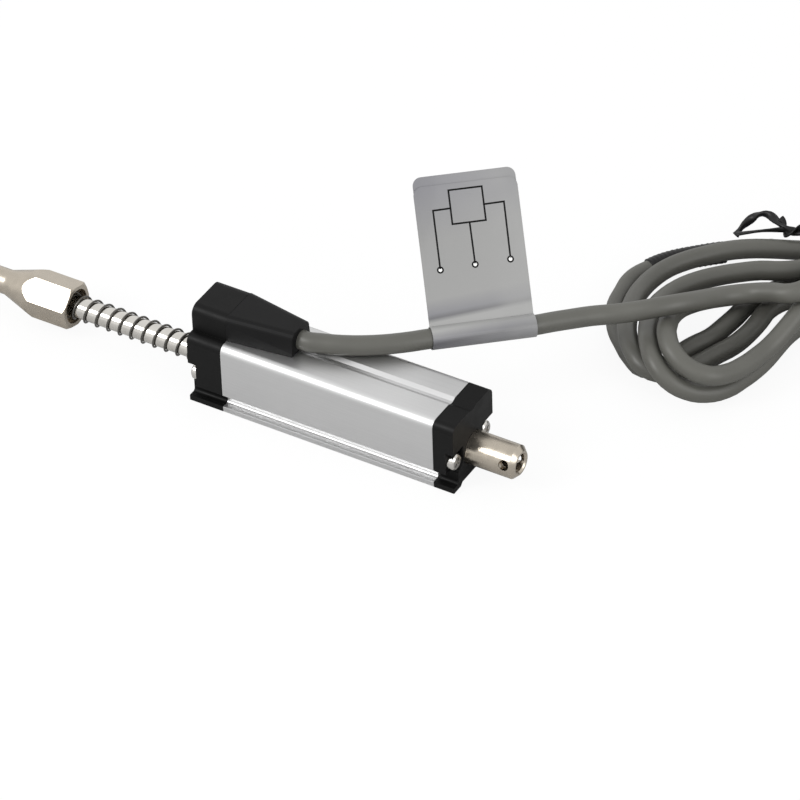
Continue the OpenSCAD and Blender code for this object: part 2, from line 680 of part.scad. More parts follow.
module hex_coupling() {
    corner_d = hex_af / cos(30);
    over_d = corner_d + 0.3;
    color("#c4bfae")
        difference() {
            union() {
                intersection() {
                    translate([x_shank - 0.5, 0, axis_z])
                        rotate([hex_turn, 0, 0])
                            rotate([0, 90, 0])
                                cylinder(h = x_hex - x_shank + 1, d = corner_d, $fn = 6);
                    union() {
                        taper(x_hex - 0.5, 0.5, over_d, hex_af + 0.3);
                        bar(x_cone, hex_l - 0.5, over_d);
                        taper(x_shank, cone_l, shank_d, over_d);
                    }
                }
                bar(x_ball, x_shank - x_ball, shank_d);
            }
            bar(x_hex - rod_in_hex - 0.1, rod_in_hex + 0.1 + cut, rod_d + 2 * fit_gap);
            bar(x_hex - hex_bore_l, hex_bore_l + cut, hex_bore_d);
            translate([x_ball, 0, axis_z])
                sphere(d = ball_d + 2 * fit_gap, $fn = 48);
        }
}

module contact_ball() {
    color("#dcdcd8")
        translate([x_ball, 0, axis_z])
            sphere(d = ball_d, $fn = 48);
}

// Closed first and last turns, and evenly spaced ones between them
spring_x0 = x_hex - hex_bore_l + wire_d / 2 + 0.02;
spring_x1 = x_nose + spring_seat_l - wire_d / 2 - 0.02;
spring_end = wire_d * 1.1;
spring_steps = 16;
spring_flare = 0.7;
function spring_x(n) =
    n < 1 ? spring_x0 + n * spring_end
    : n > spring_turns + 1 ? spring_x1 - (spring_turns + 2 - n) * spring_end
    : spring_x0 + spring_end
        + (n - 1) * (spring_x1 - spring_x0 - 2 * spring_end) / spring_turns;
function spring_r(n) = (spring_d - wire_d) / 2 + spring_flare * max(0, 1 - n / 1.5);
function spring_point(i) =
    let (n = i / spring_steps, a = 360 * n, r = spring_r(n))
    [spring_x(n), r * sin(a), axis_z + r * cos(a)];

// Wire rings that stand square to the coil, so that the wire keeps its thickness
function spring_ring(i) =
    let (a = 360 * i / spring_steps, c = spring_point(i))
    [for (k = [0:5])
        c + wire_d / 2 * (cos(60 * k) * [1, 0, 0] + sin(60 * k) * [0, sin(a), cos(a)])];

module return_spring() {
    count = (spring_turns + 2) * spring_steps;
    points = [for (i = [0:count]) each spring_ring(i)];
    faces = [
        [for (k = [5:-1:0]) k],
        for (i = [0:count - 1], k = [0:5])
            [i * 6 + k, i * 6 + (k + 1) % 6, (i + 1) * 6 + (k + 1) % 6, (i + 1) * 6 + k],
        [for (k = [0:5]) count * 6 + k]
    ];
    color("#b9b9b4")
        polyhedron(points = points, faces = faces, convexity = 10);
}

module cable() {
    color("#77766f")
        tube(cable_route, cable_d, 12);
}

module cable_tail() {
    color("#77766f")
        tube(tail_route, cable_d, 12);
}

module end_sleeve() {
    color("#18181a")
        tube(sleeve_route, cable_d + 0.6, 12);
}

// Turns the length and width of the wound turns into place
module on_hank() {
    translate([hank_x, hank_y, 0])
        rotate([0, 0, hank_turn])
            children();
}

module cable_coil() {
    color("#77766f")
        tube(coil_route, cable_d, 8);
}

// A core of the cable beyond its sleeve, fanned out from the others
module end_core(place) {
    t = along(sleeve_route, len(sleeve_route) - 1);
    p = sleeve_route[len(sleeve_route) - 1] + core_gap * t;
    s = level(t);
    tube([p + place * core_d * 1.05 * s, p + 5 * t + place * (core_d + 0.6) * s,
        p + core_l * t + place * (core_d + core_spread) * s], core_d, 8);
}

module core_brown() {
    color("#6b4226")
        end_core(-1);
}

module core_black() {
    color("#1b1b1b")
        end_core(0);
}

module core_blue() {
    color("#2f5f9e")
        end_core(1);
}

// The label's fold hugs the cable, and its flag leans back from it
label_t = 0.4;
label_mid = cable_route[8];
label_head = 44.5;
label_dip = 3.4;
label_lean = 37;
module cable_label() {
    inner = cable_d + 0.4;
    outer = inner + 2 * label_t;
    color("#c9cbcc")
        translate(label_mid)
            rotate([0, label_dip, label_head])
                rotate([-label_lean, 0, 0]) {
                    translate([0, label_t / 2, outer / 2 - label_t - 0.1])
                        rotate([90, 0, 0])
                            linear_extrude(height = label_t)
                                arch(label_w, 0, label_h, 2);
                    rotate([0, 90, 0])
                        difference() {
                            cylinder(h = label_w, d = outer, center = true);
                            cylinder(h = label_w + 1, d = inner, center = true);
                        }
                }
}

// The tie's loop: a band pulled tight round the turns that it holds
module tie_form(d) {
    hull()
        for (p = tie_turns)
            translate(p)
                circle(d = d, $fn = 24);
}

module cable_tie() {
    inner = cable_d + 2 * strap_gap;
    color("#151516")
        on_hank() {
            translate([tie_u + strap_w / 2, 0, 0])
                rotate([90, 0, -90])
                    mirror([1, 0])
                        linear_extrude(height = strap_w)
                            difference() {
                                tie_form(inner + 2 * strap_t);
                                tie_form(inner);
                            }
            tube(tie_tail, tie_tail_d, 8);
        }
}

housing_profile();
front_cap();
rear_cap();
cable_boot();
front_bushing();
rear_bushing();
rod_wiper();
front_buffer();
front_screw_near();
front_screw_far();
rear_screw_near();
rear_screw_far();
track_board();
resistive_track();
collector_track();
wire_brown();
wire_black();
wire_blue();
wiper_carriage();
wiper_finger_near();
wiper_finger_far();
push_rod();
rod_clip();
rod_end_sleeve();
hex_coupling();
contact_ball();
return_spring();
cable();
cable_coil();
cable_tail();
end_sleeve();
core_brown();
core_black();
core_blue();
cable_label();
cable_tie();
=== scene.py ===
"""Dresses the frame of a spring-return linear displacement sensor, in metres."""

import math

import bmesh
import bpy
from bpy.props import FloatProperty, FloatVectorProperty, IntProperty, PointerProperty
from mathutils import Matrix, Vector


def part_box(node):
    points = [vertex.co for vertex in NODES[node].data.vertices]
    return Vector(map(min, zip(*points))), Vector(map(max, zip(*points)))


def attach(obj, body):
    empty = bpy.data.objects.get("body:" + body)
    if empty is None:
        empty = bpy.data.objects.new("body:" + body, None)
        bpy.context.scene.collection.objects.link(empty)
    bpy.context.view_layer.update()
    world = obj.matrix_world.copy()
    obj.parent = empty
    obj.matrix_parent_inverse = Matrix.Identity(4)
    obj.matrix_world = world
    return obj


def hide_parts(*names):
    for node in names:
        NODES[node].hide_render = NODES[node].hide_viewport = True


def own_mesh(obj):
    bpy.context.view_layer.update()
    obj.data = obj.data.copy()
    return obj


bl_info = {
    "name": "Linear Displacement Sensor",
    "version": (1, 0, 0),
    "blender": (4, 5, 0),
    "location": "View3D > Sidebar > Sensor",
    "description": "Dresses the sensor's frame with its finishes, cable and fine pieces",
    "category": "Object",
}

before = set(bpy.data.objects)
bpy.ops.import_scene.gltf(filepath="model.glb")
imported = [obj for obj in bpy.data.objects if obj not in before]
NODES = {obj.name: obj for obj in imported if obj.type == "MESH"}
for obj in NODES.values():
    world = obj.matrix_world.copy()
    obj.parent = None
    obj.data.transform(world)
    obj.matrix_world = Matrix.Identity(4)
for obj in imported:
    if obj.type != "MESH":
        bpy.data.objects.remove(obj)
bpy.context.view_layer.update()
MM = 0.001
AXIS_Z = 7.3 * MM

# The lead's route out of the boot, through its wound turns and to its sleeved end, as in the
# source, in millimetres like all that follows down to the camera
CABLE_ROUTE = [
    (18.95, 0, 20.8), (20.9, 0, 20.8), (23, 0.7, 20.8), (28, 2.6, 20.8), (34, 6, 20.7),
    (39.5, 10.2, 20.6), (44, 14.6, 20.4), (48.24, 18.77, 20.05), (52.48, 22.94, 19.7),
    (56.72, 27.1, 19.35), (60.97, 31.27, 19), (63.45, 34.8, 18.4),
]
COIL_ROUTE = [
    (66.15, 38.62, 17.63), (69.2, 42.9, 16.7), (73, 46.2, 16.4), (77.2, 48.6, 17.1),
    (81.5, 51.1, 18.1), (84.9, 54.6, 18), (87.1, 58.9, 16.7), (88.9, 63.4, 15.1), (91.4, 67.5, 14),
    (95.4, 70.3, 14.2), (100.1, 70.8, 15.8), (104.9, 70.8, 17.3), (108, 74.1, 18.1),
    (108.9, 78.9, 18.5), (109.4, 83.9, 18.7), (109.8, 88.9, 18.8), (110.1, 93.9, 18.8),
    (110.7, 98.8, 18.7), (112.3, 103.4, 18), (115, 107.4, 16.4), (117.3, 111.7, 15.7),
    (119.4, 116.3, 15.8), (120.9, 121, 16.3), (122.3, 125.8, 16.5), (123.4, 130.6, 16.3),
    (124.5, 135.5, 16), (125.6, 140.4, 15.6), (126.8, 145.2, 14.9), (128.2, 149.9, 14),
    (129.9, 154.5, 13.1), (132, 158.9, 12.1), (134.4, 163.3, 11.4), (137, 167.5, 10.9),
    (140.1, 171.4, 10.5), (144.2, 174.1, 10.3), (149.1, 174.5, 10.2), (153.7, 172.7, 10.2),
    (157, 168.9, 10.3), (158.1, 164.1, 10.3), (156.9, 159.3, 10.5), (154.5, 154.9, 10.6),
    (151.8, 150.7, 10.6), (149, 146.6, 10.9), (146.1, 142.5, 11.4), (143, 138.6, 11.9),
    (139.8, 134.8, 12.3), (136.6, 131, 12.5), (133.3, 127.2, 12.7), (130, 123.4, 12.6),
    (126.8, 119.6, 12.4), (123.7, 115.7, 12.2), (120.7, 111.7, 11.8), (117.9, 107.6, 11.4),
    (115.3, 103.4, 11.5), (112.8, 99.4, 13.2), (110.5, 95, 13.8), (108.4, 90.4, 14),
    (107.3, 85.6, 14), (107, 80.6, 13.8), (107.1, 75.6, 13.4), (107.1, 70.7, 12.6),
    (106, 66.4, 10.4), (104.6, 62.1, 8.3), (103.4, 57.4, 7.7), (102.3, 52.5, 7.9),
    (100.8, 47.8, 8.7), (98.2, 43.8, 10.1), (93.6, 42.9, 11.3), (89.2, 44, 13.4),
    (85.9, 47.5, 14.2), (83.7, 51.9, 13.4), (82.1, 56.4, 11.9), (81.2, 61, 10.2), (81.4, 65.7, 8.7),
    (83.5, 70.1, 7.9), (87, 73.7, 7.7), (91, 76.7, 7.9), (95.4, 79, 8.3), (100.2, 80.2, 8.8),
    (103.6, 83.5, 9.3), (105.2, 88.2, 9.6), (106.5, 93, 9.9), (107.7, 97.9, 10.1),
    (109.1, 102.6, 10.2), (111.8, 106.9, 10), (114.4, 111.2, 10.1), (116.4, 115.7, 10.7),
    (118, 120.4, 11.3), (119.2, 125.2, 11.8), (120.2, 130.1, 12.2), (121, 135, 12.3),
    (121.8, 140, 12.2), (122.7, 144.9, 12), (123.7, 149.8, 11.6), (125, 154.5, 11.1),
    (126.8, 159.2, 10.5), (129, 163.6, 10), (131.5, 168, 9.6), (134.3, 172.1, 9.3),
    (137.7, 175.8, 9.2), (141.9, 178.4, 9.1), (146.8, 179.4, 9.1), (151.7, 178.8, 9),
    (156.2, 176.7, 9), (159.8, 173.3, 9.1), (162.1, 168.9, 9.1), (162.9, 164, 9.1),
    (161.9, 159.1, 9.2), (159.9, 154.5, 9.2), (157.3, 150.3, 9.1), (154.5, 146.1, 9.2),
    (151.5, 142.1, 9.4), (148.4, 138.2, 9.6), (145.1, 134.5, 9.6), (141.6, 130.8, 9.5),
    (138.1, 127.3, 9.3), (134.6, 123.7, 9), (131.2, 120.1, 8.5), (127.8, 116.5, 7.7),
    (124.6, 112.8, 6.9), (121.7, 108.8, 6), (118.9, 104.7, 5.4), (116.3, 100.5, 5.4),
    (113.7, 96.2, 5.1), (111.3, 91.8, 4.6), (108.8, 87.5, 4), (106.4, 83.2, 3.4),
    (104.2, 78.7, 2.9), (102.8, 74, 2.5), (102.6, 69, 2.5), (102.6, 64, 2.5), (102.2, 59, 2.6),
    (101.2, 54.1, 2.7), (99.9, 49.3, 3), (97.2, 45.2, 3.7), (93.8, 42, 5.5), (89.9, 40.4, 8.2),
    (85.9, 41.8, 10.5), (82.6, 45.5, 11), (79.9, 49.6, 10.3), (77.6, 54, 9.2), (75.8, 58.4, 8.1),
    (74.4, 63.1, 7), (74, 68, 6.1), (75, 72.9, 5.9), (77.6, 77.1, 6.2), (81.1, 80.6, 6.6),
    (85, 83.8, 6.9), (89.2, 86.4, 7.3), (93.8, 88.3, 7.6), (97.9, 91, 8), (100.5, 95.2, 8.3),
    (102.6, 99.8, 8.5), (104.6, 104.3, 8.7), (107.2, 108.6, 8.7), (109.9, 112.9, 8.5),
    (112.2, 117.3, 8.4), (114.2, 121.9, 8.4), (115.9, 126.6, 8.5), (117.4, 131.3, 8.3),
    (118.8, 136.1, 8), (120.1, 140.9, 7.6), (121.5, 145.7, 7.2), (123.1, 150.4, 6.6),
    (124.8, 155.1, 6), (126.9, 159.6, 5.4), (129.2, 164, 4.9), (131.7, 168.3, 4.6),
    (134.6, 172.4, 4.4), (138, 176, 4.2), (142.3, 178.5, 4.1), (147.2, 179.4, 4.1),
    (152.1, 178.7, 4.1), (156.6, 176.5, 4.1), (160.1, 173, 4.1), (162.2, 168.5, 4.2),
    (162.9, 163.6, 4.2), (161.8, 158.7, 4.3), (159.7, 154.2, 4.3), (157.1, 149.9, 4.2),
    (154.2, 145.8, 4.2), (151.1, 141.9, 4.4), (147.7, 138.2, 4.5), (144, 134.9, 4.7),
    (140.2, 131.6, 4.8), (136.3, 128.5, 4.9), (132.4, 125.4, 4.9), (128.5, 122.3, 4.8),
    (124.7, 118.9, 4.7), (121.2, 115.5, 4.4), (117.9, 111.7, 4.2), (115, 107.6, 4.1),
    (112.4, 103.3, 4.1), (109.6, 99.2, 4), (106.6, 95.2, 3.9), (103.5, 91.3, 3.7),
    (100.2, 87.5, 3.6), (97, 83.7, 3.4), (95.1, 79.2, 3.1), (95.1, 74.2, 2.9), (94.9, 69.2, 2.8),
    (94, 64.3, 2.7), (92.3, 59.6, 2.8), (90.7, 54.8, 3), (89.1, 50.1, 3.6), (86.3, 46.1, 4.4),
    (81.9, 44.4, 5.7), (77.8, 46.6, 7), (74.4, 50.3, 7.3), (71.8, 54.5, 7.1), (69.9, 59.1, 6.7),
    (68.4, 63.9, 6.2), (67.6, 68.8, 5.7), (67.7, 73.7, 5.5), (69.2, 78.5, 5.9), (72, 82.6, 6.4),
    (75.3, 86.3, 6.7), (78.8, 89.9, 6.8), (82.7, 93, 6.7), (86.9, 95.7, 6.4), (91.3, 98.2, 6),
    (95.5, 100.9, 5.5), (99.6, 103.6, 4.9), (103.4, 106.8, 4.4), (105.9, 111.1, 4.2),
    (108.6, 115.4, 4.2), (111.1, 119.7, 3.9), (113.5, 124, 3.6), (115.8, 128.5, 3.4),
    (118.1, 132.9, 3.2), (120.3, 137.4, 3.1), (122.6, 141.8, 3), (124.9, 146.3, 3),
    (127.2, 150.7, 3), (129.6, 155.1, 3), (132.1, 159.4, 3), (134.7, 163.7, 3), (137.3, 168, 3),
    (140.5, 171.9, 3), (144.8, 174.3, 3), (149.7, 174.4, 3), (154.2, 172.3, 3), (157.2, 168.4, 3),
    (158.1, 163.5, 3), (156.6, 158.7, 2.9), (154.2, 154.4, 2.9), (151.4, 150.2, 2.9),
    (148.5, 146.2, 2.9), (145.2, 142.4, 2.9), (141.6, 138.9, 2.9), (137.9, 135.6, 2.9),
    (134, 132.5, 2.9), (130.1, 129.4, 2.9), (126.2, 126.2, 2.9), (122.3, 123, 2.9),
    (118.7, 119.6, 2.9), (115.3, 115.9, 2.9), (112.2, 112, 2.9), (109.5, 107.8, 2.9),
    (106.8, 103.6, 2.8), (103.5, 99.9, 2.7), (100, 96.3, 2.6), (96.7, 92.5, 2.5), (93.7, 88.5, 2.4),
    (91.3, 84.1, 2.4), (89.6, 79.4, 2.3), (89.3, 74.4, 2.3), (88.7, 69.5, 2.3), (87.8, 64.5, 2.3),
    (85.8, 60, 2.3), (84.5, 55.3, 2.3), (83.8, 50.4, 2.3), (79.9, 47.8, 2.3), (75.5, 49.9, 2.3),
    (71.7, 53.2, 2.3), (68.1, 56.7, 2.3), (65.3, 60.8, 2.3), (63.2, 65.3, 2.3), (62.3, 70.2, 2.3),
]
TAIL_ROUTE = [(61.9, 72.9, 2.35), (62.3, 76.3, 2.5), (63.8, 79.6, 2.65)]
SLEEVE_ROUTE = [
    (63.83, 79.7, 2.65), (65.1, 82.3, 2.65), (66.7, 84.7, 2.65), (68.7, 87, 2.65),
    (71, 89.3, 2.65), (73.4, 91.6, 2.65), (76, 93.9, 2.65),
]
SLEEVE_WALL, SLEEVE_LIP = 0.28, 0.18
SLEEVE_RIPPLES = ((0.05, 1.7), (0.03, 3.1))

# The stripped cores: each one's side of the lead, its line as places along and off the lead's
# end, whose last one is the strand's tip, and the strand's radii at shares of its bare length
CORE_SIDES = {"brown": -1, "black": 0, "blue": 1}
CORE_COLOURS = {
    "brown": (0.13, 0.05, 0.02), "black": (0.012, 0.012, 0.012), "blue": (0.02, 0.09, 0.34),
}
CORE_D = 1.3
CORE_LINE = [(-3, 0.7), (0, 1.365), (5, 1.9), (8.8, 1.9), (12, 2.1)]
STRAND = [(-0.2, 0.36), (0, 0.36), (0.3, 0.35), (0.6, 0.37), (0.9, 0.35), (1, 0.2)]

# The wound turns' own place and heading, in which the tie is given
HANK_X, HANK_Y, HANK_TURN = 85, 64, math.radians(58)

# The tie: its place along the turns, its gap, thickness, middle rib, skew and parts, its
# cross-section as places along the turns and off them, and the turns that it holds
TIE_U, TIE_GAP, TIE_T, TIE_RIB, TIE_SKEW, TIE_PARTS = 50, 0.14, 0.34, 0.22, 0.35, 72
TIE_SECTION = [
    (-1.9, 0), (1.9, 0), (1.9, TIE_T), (0.6, TIE_T), (0.4, TIE_T + TIE_RIB),
    (-0.4, TIE_T + TIE_RIB), (-0.6, TIE_T), (-1.9, TIE_T),
]
TIE_TURNS = [
    (2.3, 2.9), (2.5, 2.9), (7.1, 4.2), (7.2, 4.3), (-2.4, 4.1), (4.8, 8.7), (-7.2, 5.4),
    (0, 10.1), (-4.75, 12.2), (-4.8, 11.2), (-2.2, 18.1), (-2.45, 16.5),
]
TIE_TAIL = [
    (49.5, 7.8, 10.6), (47, 8.2, 10.3), (44.5, 8.9, 10), (41, 9.9, 10.2), (37.8, 11.6, 10),
    (34.7, 14, 9.5), (32.7, 16.1, 9.6), (32, 19.1, 10), (31.6, 21.8, 10.2), (30.5, 23.8, 9.8),
    (29, 25, 8.6), (26.6, 25.6, 6.6), (24.6, 25.6, 4.6),
]

# The tie's twisted ends: route, width, thickness, twists, first angle and place off the route
TIE_RIBBONS = [
    (TIE_TAIL, 2.1, 1.2, 2.5, 0.0, 0.0),
    (TIE_TAIL[:8], 1.9, 1.1, 3.0, 0.6, 1.0),
    ([TIE_TAIL[6], (30.4, 17.6, 9.3), (27.2, 19.4, 9), (22.5, 21.4, 8.6)], 1.5, 0.7, 0.3, 1.2, 0.0),
]

# The label's place on the cable, as in the source, and its size
LABEL_MID = Vector((52.48, 22.94, 19.7))
LABEL_HEAD, LABEL_DIP, LABEL_LEAN = math.radians(44.5), math.radians(3.4), math.radians(37)
LABEL_W, LABEL_H, LABEL_CORNER = 24, 34, 2

# Its film: one layer's thickness, a layer's distance from the flag's plane, the gap to the
# cable, and where and how strongly the flag curls, with its wave along the cable
FILM_T, FILM_Y, FILM_GAP = 0.168, 0.11, 0.24
FLAG_FOOT, FLAG_CURL, FLAG_WAVE, FLAG_PACE = 6, 0.00035, 0.3, 0.2

# The flag's layers: place off its plane, change of width, and change of foot and of top
FILM_LAYERS = [(-FILM_Y, 0, -0.12, -2.8), (FILM_Y, -0.3, -0.1, -0.6)]
FILM_ROUND = (-0.08, 0.1)

# The film's painted highlight and painted shade, in bands up the flag: the span up the flag and
# along the cable, the shift along the cable, and tones at shares of the flag's height
PAINTED_LIGHT_UP, PAINTED_LIGHT_ALONG, PAINTED_LIGHT_SHIFT = (-2.6, 34), (-12, 12), -0.048
PAINTED_LIGHT_STOPS = [
    (0.0, 0.62), (0.032, 0.4), (0.056, 0.62), (0.11, 1.25), (0.16, 1.12),
    (0.188, 0.36), (0.215, 0.66), (0.3, 0.96), (0.65, 0.92), (0.97, 0.72),
]

# The printed circuit, in shares of the flag's width and of its printed height: its box, and
# each line with the terminal at its end
PRINT_H = LABEL_H - 0.6
PRINT_BOX = [(0.335, 0.663), (0.657, 0.663), (0.657, 0.891), (0.335, 0.891), (0.335, 0.663)]
PRINT_LINES = [
    ([(0.335, 0.770), (0.167, 0.768), (0.168, 0.382)], (0.168, 0.369)),
    ([(0.50, 0.663), (0.504, 0.391)], (0.504, 0.378)),
    ([(0.656, 0.770), (0.850, 0.772), (0.846, 0.397)], (0.845, 0.384)),
]
LINE_W, RIM_W, RIM_R, DISC_R = 0.4, 0.34, 0.6, 0.45
INK_FOOT, INK_TOP, DISC_TOP = 0.005, -0.015, -0.012
ROUND_PARTS = 20

# The spring: pitch of its closed turns in wires, turns that flare, and steps in a turn
CLOSED_PITCH, FLARE_TURNS, TURN_STEPS = 1.1, 1.5, 40

# The camera of the photograph: its place in metres, its axes, and its lens and sensor
CAMERA_PLACE = (0.57598, -0.85680, 0.83500)
CAMERA_RIGHT = (0.8608, 0.5082, -0.0270)
CAMERA_DOWN = (0.3033, -0.5548, -0.7747)
CAMERA_FORWARD = (-0.4087, 0.6587, -0.6317)
CAMERA_LENS, CAMERA_SENSOR = 263.67, 36

# The floor's half size and height in metres, its own white and how much of it the camera sees
FLOOR_SIZE, FLOOR_Z = 3, -0.0002
FLOOR_GLOW, FLOOR_SHARE = 1.06, 0.86
WHITE = (1, 1, 1, 1)

# The lamps' places and sizes, in metres, and the point that they face
LAMPS = {"key": ((-0.36, -0.52, 0.56), 0.34), "fill": ((0.75, -0.15, 0.35), 0.5)}
LAMP_TARGET = Vector((0.03, 0.0, 0.01))


# Shader trees. A grain's contrast c cuts CUT_BASE + CUT_GAIN * c off both ends of its noise.

CUT_GAIN, CUT_BASE = 0.4, 0.08


def add_node(tree, kind, **settings):
    """A new node with its settings and input values."""
    made = tree.nodes.new(kind)
    for key, value in settings.items():
        if hasattr(made, key):
            setattr(made, key, value)
        else:
            made.inputs[key.replace("_", " ")].default_value = value
    return made


class Surface:
    """A material's node tree round its Principled shader."""

    def __init__(self, name, colour, roughness, metallic=0.0, **sockets):
        self.material = bpy.data.materials.new(name)
        self.material.use_nodes = True
        self.tree = self.material.node_tree
        self.shader = self.tree.nodes["Principled BSDF"]
        self.shader.inputs["Base Color"].default_value = (*colour, 1)
        self.shader.inputs["Roughness"].default_value = roughness
        self.shader.inputs["Metallic"].default_value = metallic
        for socket, value in sockets.items():
            self.shader.inputs[socket.replace("_", " ")].default_value = value

    def node(self, kind, **settings):
        return add_node(self.tree, kind, **settings)

    def link(self, source, target):
        self.tree.links.new(source, target)

    def group(self, tree, **values):
        """A shared effect, placed with this material's own values."""
        return self.node("ShaderNodeGroup", node_tree=tree, **values)

    def tint(self, mask, dark, light):
        """Base colour that runs between two colours with a mask."""
        mix = self.node("ShaderNodeMix", data_type="RGBA")
        mix.inputs[6].default_value = (*dark, 1)
        mix.inputs[7].default_value = (*light, 1)
        self.link(mask, mix.inputs[0])
        self.link(mix.outputs[2], self.shader.inputs["Base Color"])
        return mix

    def spread(self, mask, socket, low, high):
        """A socket's value that runs between two values with a mask."""
        scale = self.node("ShaderNodeMapRange", To_Min=low, To_Max=high)
        self.link(mask, scale.inputs["Value"])
        self.link(scale.outputs["Result"], self.shader.inputs[socket])

    def bump(self, height, distance, strength=1.0):
        """Fine relief, with its depth in metres."""
        bump = self.node("ShaderNodeBump", Strength=strength, Distance=distance)
        self.link(height, bump.inputs["Height"])
        self.link(bump.outputs["Normal"], self.shader.inputs["Normal"])


def new_group(name, inputs, outputs):
    """An empty shader group, with its inputs' names and start values, and float outputs."""
    tree = bpy.data.node_groups.new(name, "ShaderNodeTree")
    for label, value in inputs:
        kind = "NodeSocketVector" if isinstance(value, tuple) else "NodeSocketFloat"
        socket = tree.interface.new_socket(label, in_out="INPUT", socket_type=kind)
        socket.default_value = value
    for label in outputs:
        tree.interface.new_socket(label, in_out="OUTPUT", socket_type="NodeSocketFloat")
    return tree, tree.nodes.new("NodeGroupInput"), tree.nodes.new("NodeGroupOutput")


def grain_group():
    """Stretched noise in object space: drawn lines, moulded texture and cloudy tone."""
    tree, given, out = new_group(
        "Stretched Grain",
        [("Stretch", (1.0, 1.0, 1.0)), ("Scale", 1000.0), ("Detail", 3.0), ("Contrast", 0.5)],
        ["Mask"])
    links = tree.links
    place = add_node(tree, "ShaderNodeTexCoord")
    pull = add_node(tree, "ShaderNodeVectorMath", operation="MULTIPLY")
    noise = add_node(tree, "ShaderNodeTexNoise")
    low = add_node(tree, "ShaderNodeMath", operation="MULTIPLY_ADD")
    low.inputs[1].default_value, low.inputs[2].default_value = CUT_GAIN, CUT_BASE
    high = add_node(tree, "ShaderNodeMath", operation="SUBTRACT")
    high.inputs[0].default_value = 1.0
    clip = add_node(tree, "ShaderNodeMapRange")
    links.new(place.outputs["Object"], pull.inputs[0])
    links.new(given.outputs["Stretch"], pull.inputs[1])
    links.new(pull.outputs["Vector"], noise.inputs["Vector"])
    links.new(given.outputs["Scale"], noise.inputs["Scale"])
    links.new(given.outputs["Detail"], noise.inputs["Detail"])
    links.new(given.outputs["Contrast"], low.inputs[0])
    links.new(low.outputs[0], high.inputs[1])
    links.new(noise.outputs["Fac"], clip.inputs["Value"])
    links.new(low.outputs[0], clip.inputs["From Min"])
    links.new(high.outputs[0], clip.inputs["From Max"])
    links.new(clip.outputs["Result"], out.inputs["Mask"])
    return tree


def edge_group():
    """A mask that is 1 on convex and concave edges, from the angle of rounded normals, used for
    painted edge highlights.
    """
    tree, given, out = new_group("Edge Mask", [("Radius", 0.0003), ("Gain", 3.0)], ["Mask"])
    links = tree.links
    soft = add_node(tree, "ShaderNodeBevel", samples=4)
    plain = add_node(tree, "ShaderNodeNewGeometry")
    angle = add_node(tree, "ShaderNodeVectorMath", operation="DOT_PRODUCT")
    rest = add_node(tree, "ShaderNodeMath", operation="SUBTRACT")
    rest.inputs[0].default_value = 1.0
    gain = add_node(tree, "ShaderNodeMath", operation="MULTIPLY", use_clamp=True)
    links.new(given.outputs["Radius"], soft.inputs["Radius"])
    links.new(soft.outputs["Normal"], angle.inputs[0])
    links.new(plain.outputs["Normal"], angle.inputs[1])
    links.new(angle.outputs["Value"], rest.inputs[1])
    links.new(rest.outputs[0], gain.inputs[0])
    links.new(given.outputs["Gain"], gain.inputs[1])
    links.new(gain.outputs[0], out.inputs["Mask"])
    return tree


GRAIN = grain_group()
EDGES = edge_group()


def anodised(name, colour):
    """Satin anodised extrusion with fine drawn lines along X."""
    s = Surface(name, colour, 0.42, 1.0)
    lines = s.group(GRAIN, Stretch=(0.012, 1.0, 1.0), Scale=4200.0, Contrast=0.4)
    clouds = s.group(GRAIN, Stretch=(0.4, 1.0, 1.0), Scale=160.0, Detail=2.0)
    dark = [c * 0.97 for c in colour]
    light = [min(1, c * 1.03) for c in colour]
    s.tint(lines.outputs["Mask"], dark, light)
    s.spread(clouds.outputs["Mask"], "Roughness", 0.39, 0.45)
    s.bump(lines.outputs["Mask"], 0.000002, 0.3)
    return s.material


def moulded(name, colour, roughness, grain=4200.0, depth=0.00001, edge_highlight=1.6, gloss=0.5):
    """Moulded plastic or rubber: fine texture, cloudy gloss and painted highlights that make its
    edges slightly paler.
    """
    s = Surface(name, colour, roughness, Specular_IOR_Level=gloss)
    fine = s.group(GRAIN, Scale=grain, Contrast=0.4)
    clouds = s.group(GRAIN, Scale=240.0)
    # Painted highlight: convex and concave edges are painted paler than the plastic
    edges = s.group(EDGES, Radius=0.00025, Gain=2.5)
    s.tint(edges.outputs["Mask"], colour, [min(1, c * edge_highlight) for c in colour])
    s.spread(clouds.outputs["Mask"], "Roughness", roughness - 0.05, roughness + 0.06)
    s.bump(fine.outputs["Mask"], depth, 0.6)
    return s.material


def turned(name, colour, roughness, lines=0.3):
    """Turned metal: fine rings round X and faint spots in its gloss."""
    s = Surface(name, colour, roughness, 1.0)
    rings = s.group(GRAIN, Stretch=(1.0, 0.02, 0.02), Scale=5200.0, Contrast=0.6)
    clouds = s.group(GRAIN, Scale=420.0, Detail=4.0, Contrast=0.6)
    s.tint(clouds.outputs["Mask"], [c * 0.93 for c in colour], [min(1, c * 1.04) for c in colour])
    s.spread(clouds.outputs["Mask"], "Roughness", roughness * 0.8, roughness * 1.25)
    s.bump(rings.outputs["Mask"], 0.000003, lines)
    return s.material


def speckled(name, dark, light, roughness, metallic, grain, depth):
    """A mottled finish, for sintered bronze, felt and laminate."""
    s = Surface(name, light, roughness, metallic)
    fine = s.group(GRAIN, Scale=grain, Detail=5.0, Contrast=0.9)
    s.tint(fine.outputs["Mask"], dark, light)
    s.spread(fine.outputs["Mask"], "Roughness", roughness + 0.1, roughness - 0.05)
    s.bump(fine.outputs["Mask"], depth, 0.8)
    return s.material


# Meshes

def mm(p):
    return Vector(p) * MM


def from_bmesh(name, bm, smooth=True):
    """A new object from a bmesh, with its faces turned outwards."""
    bmesh.ops.recalc_face_normals(bm, faces=bm.faces)
    mesh = bpy.data.meshes.new(name)
    bm.to_mesh(mesh)
    bm.free()
    mesh.polygons.foreach_set("use_smooth", [smooth] * len(mesh.polygons))
    piece = bpy.data.objects.new(name, mesh)
    bpy.context.scene.collection.objects.link(piece)
    return piece


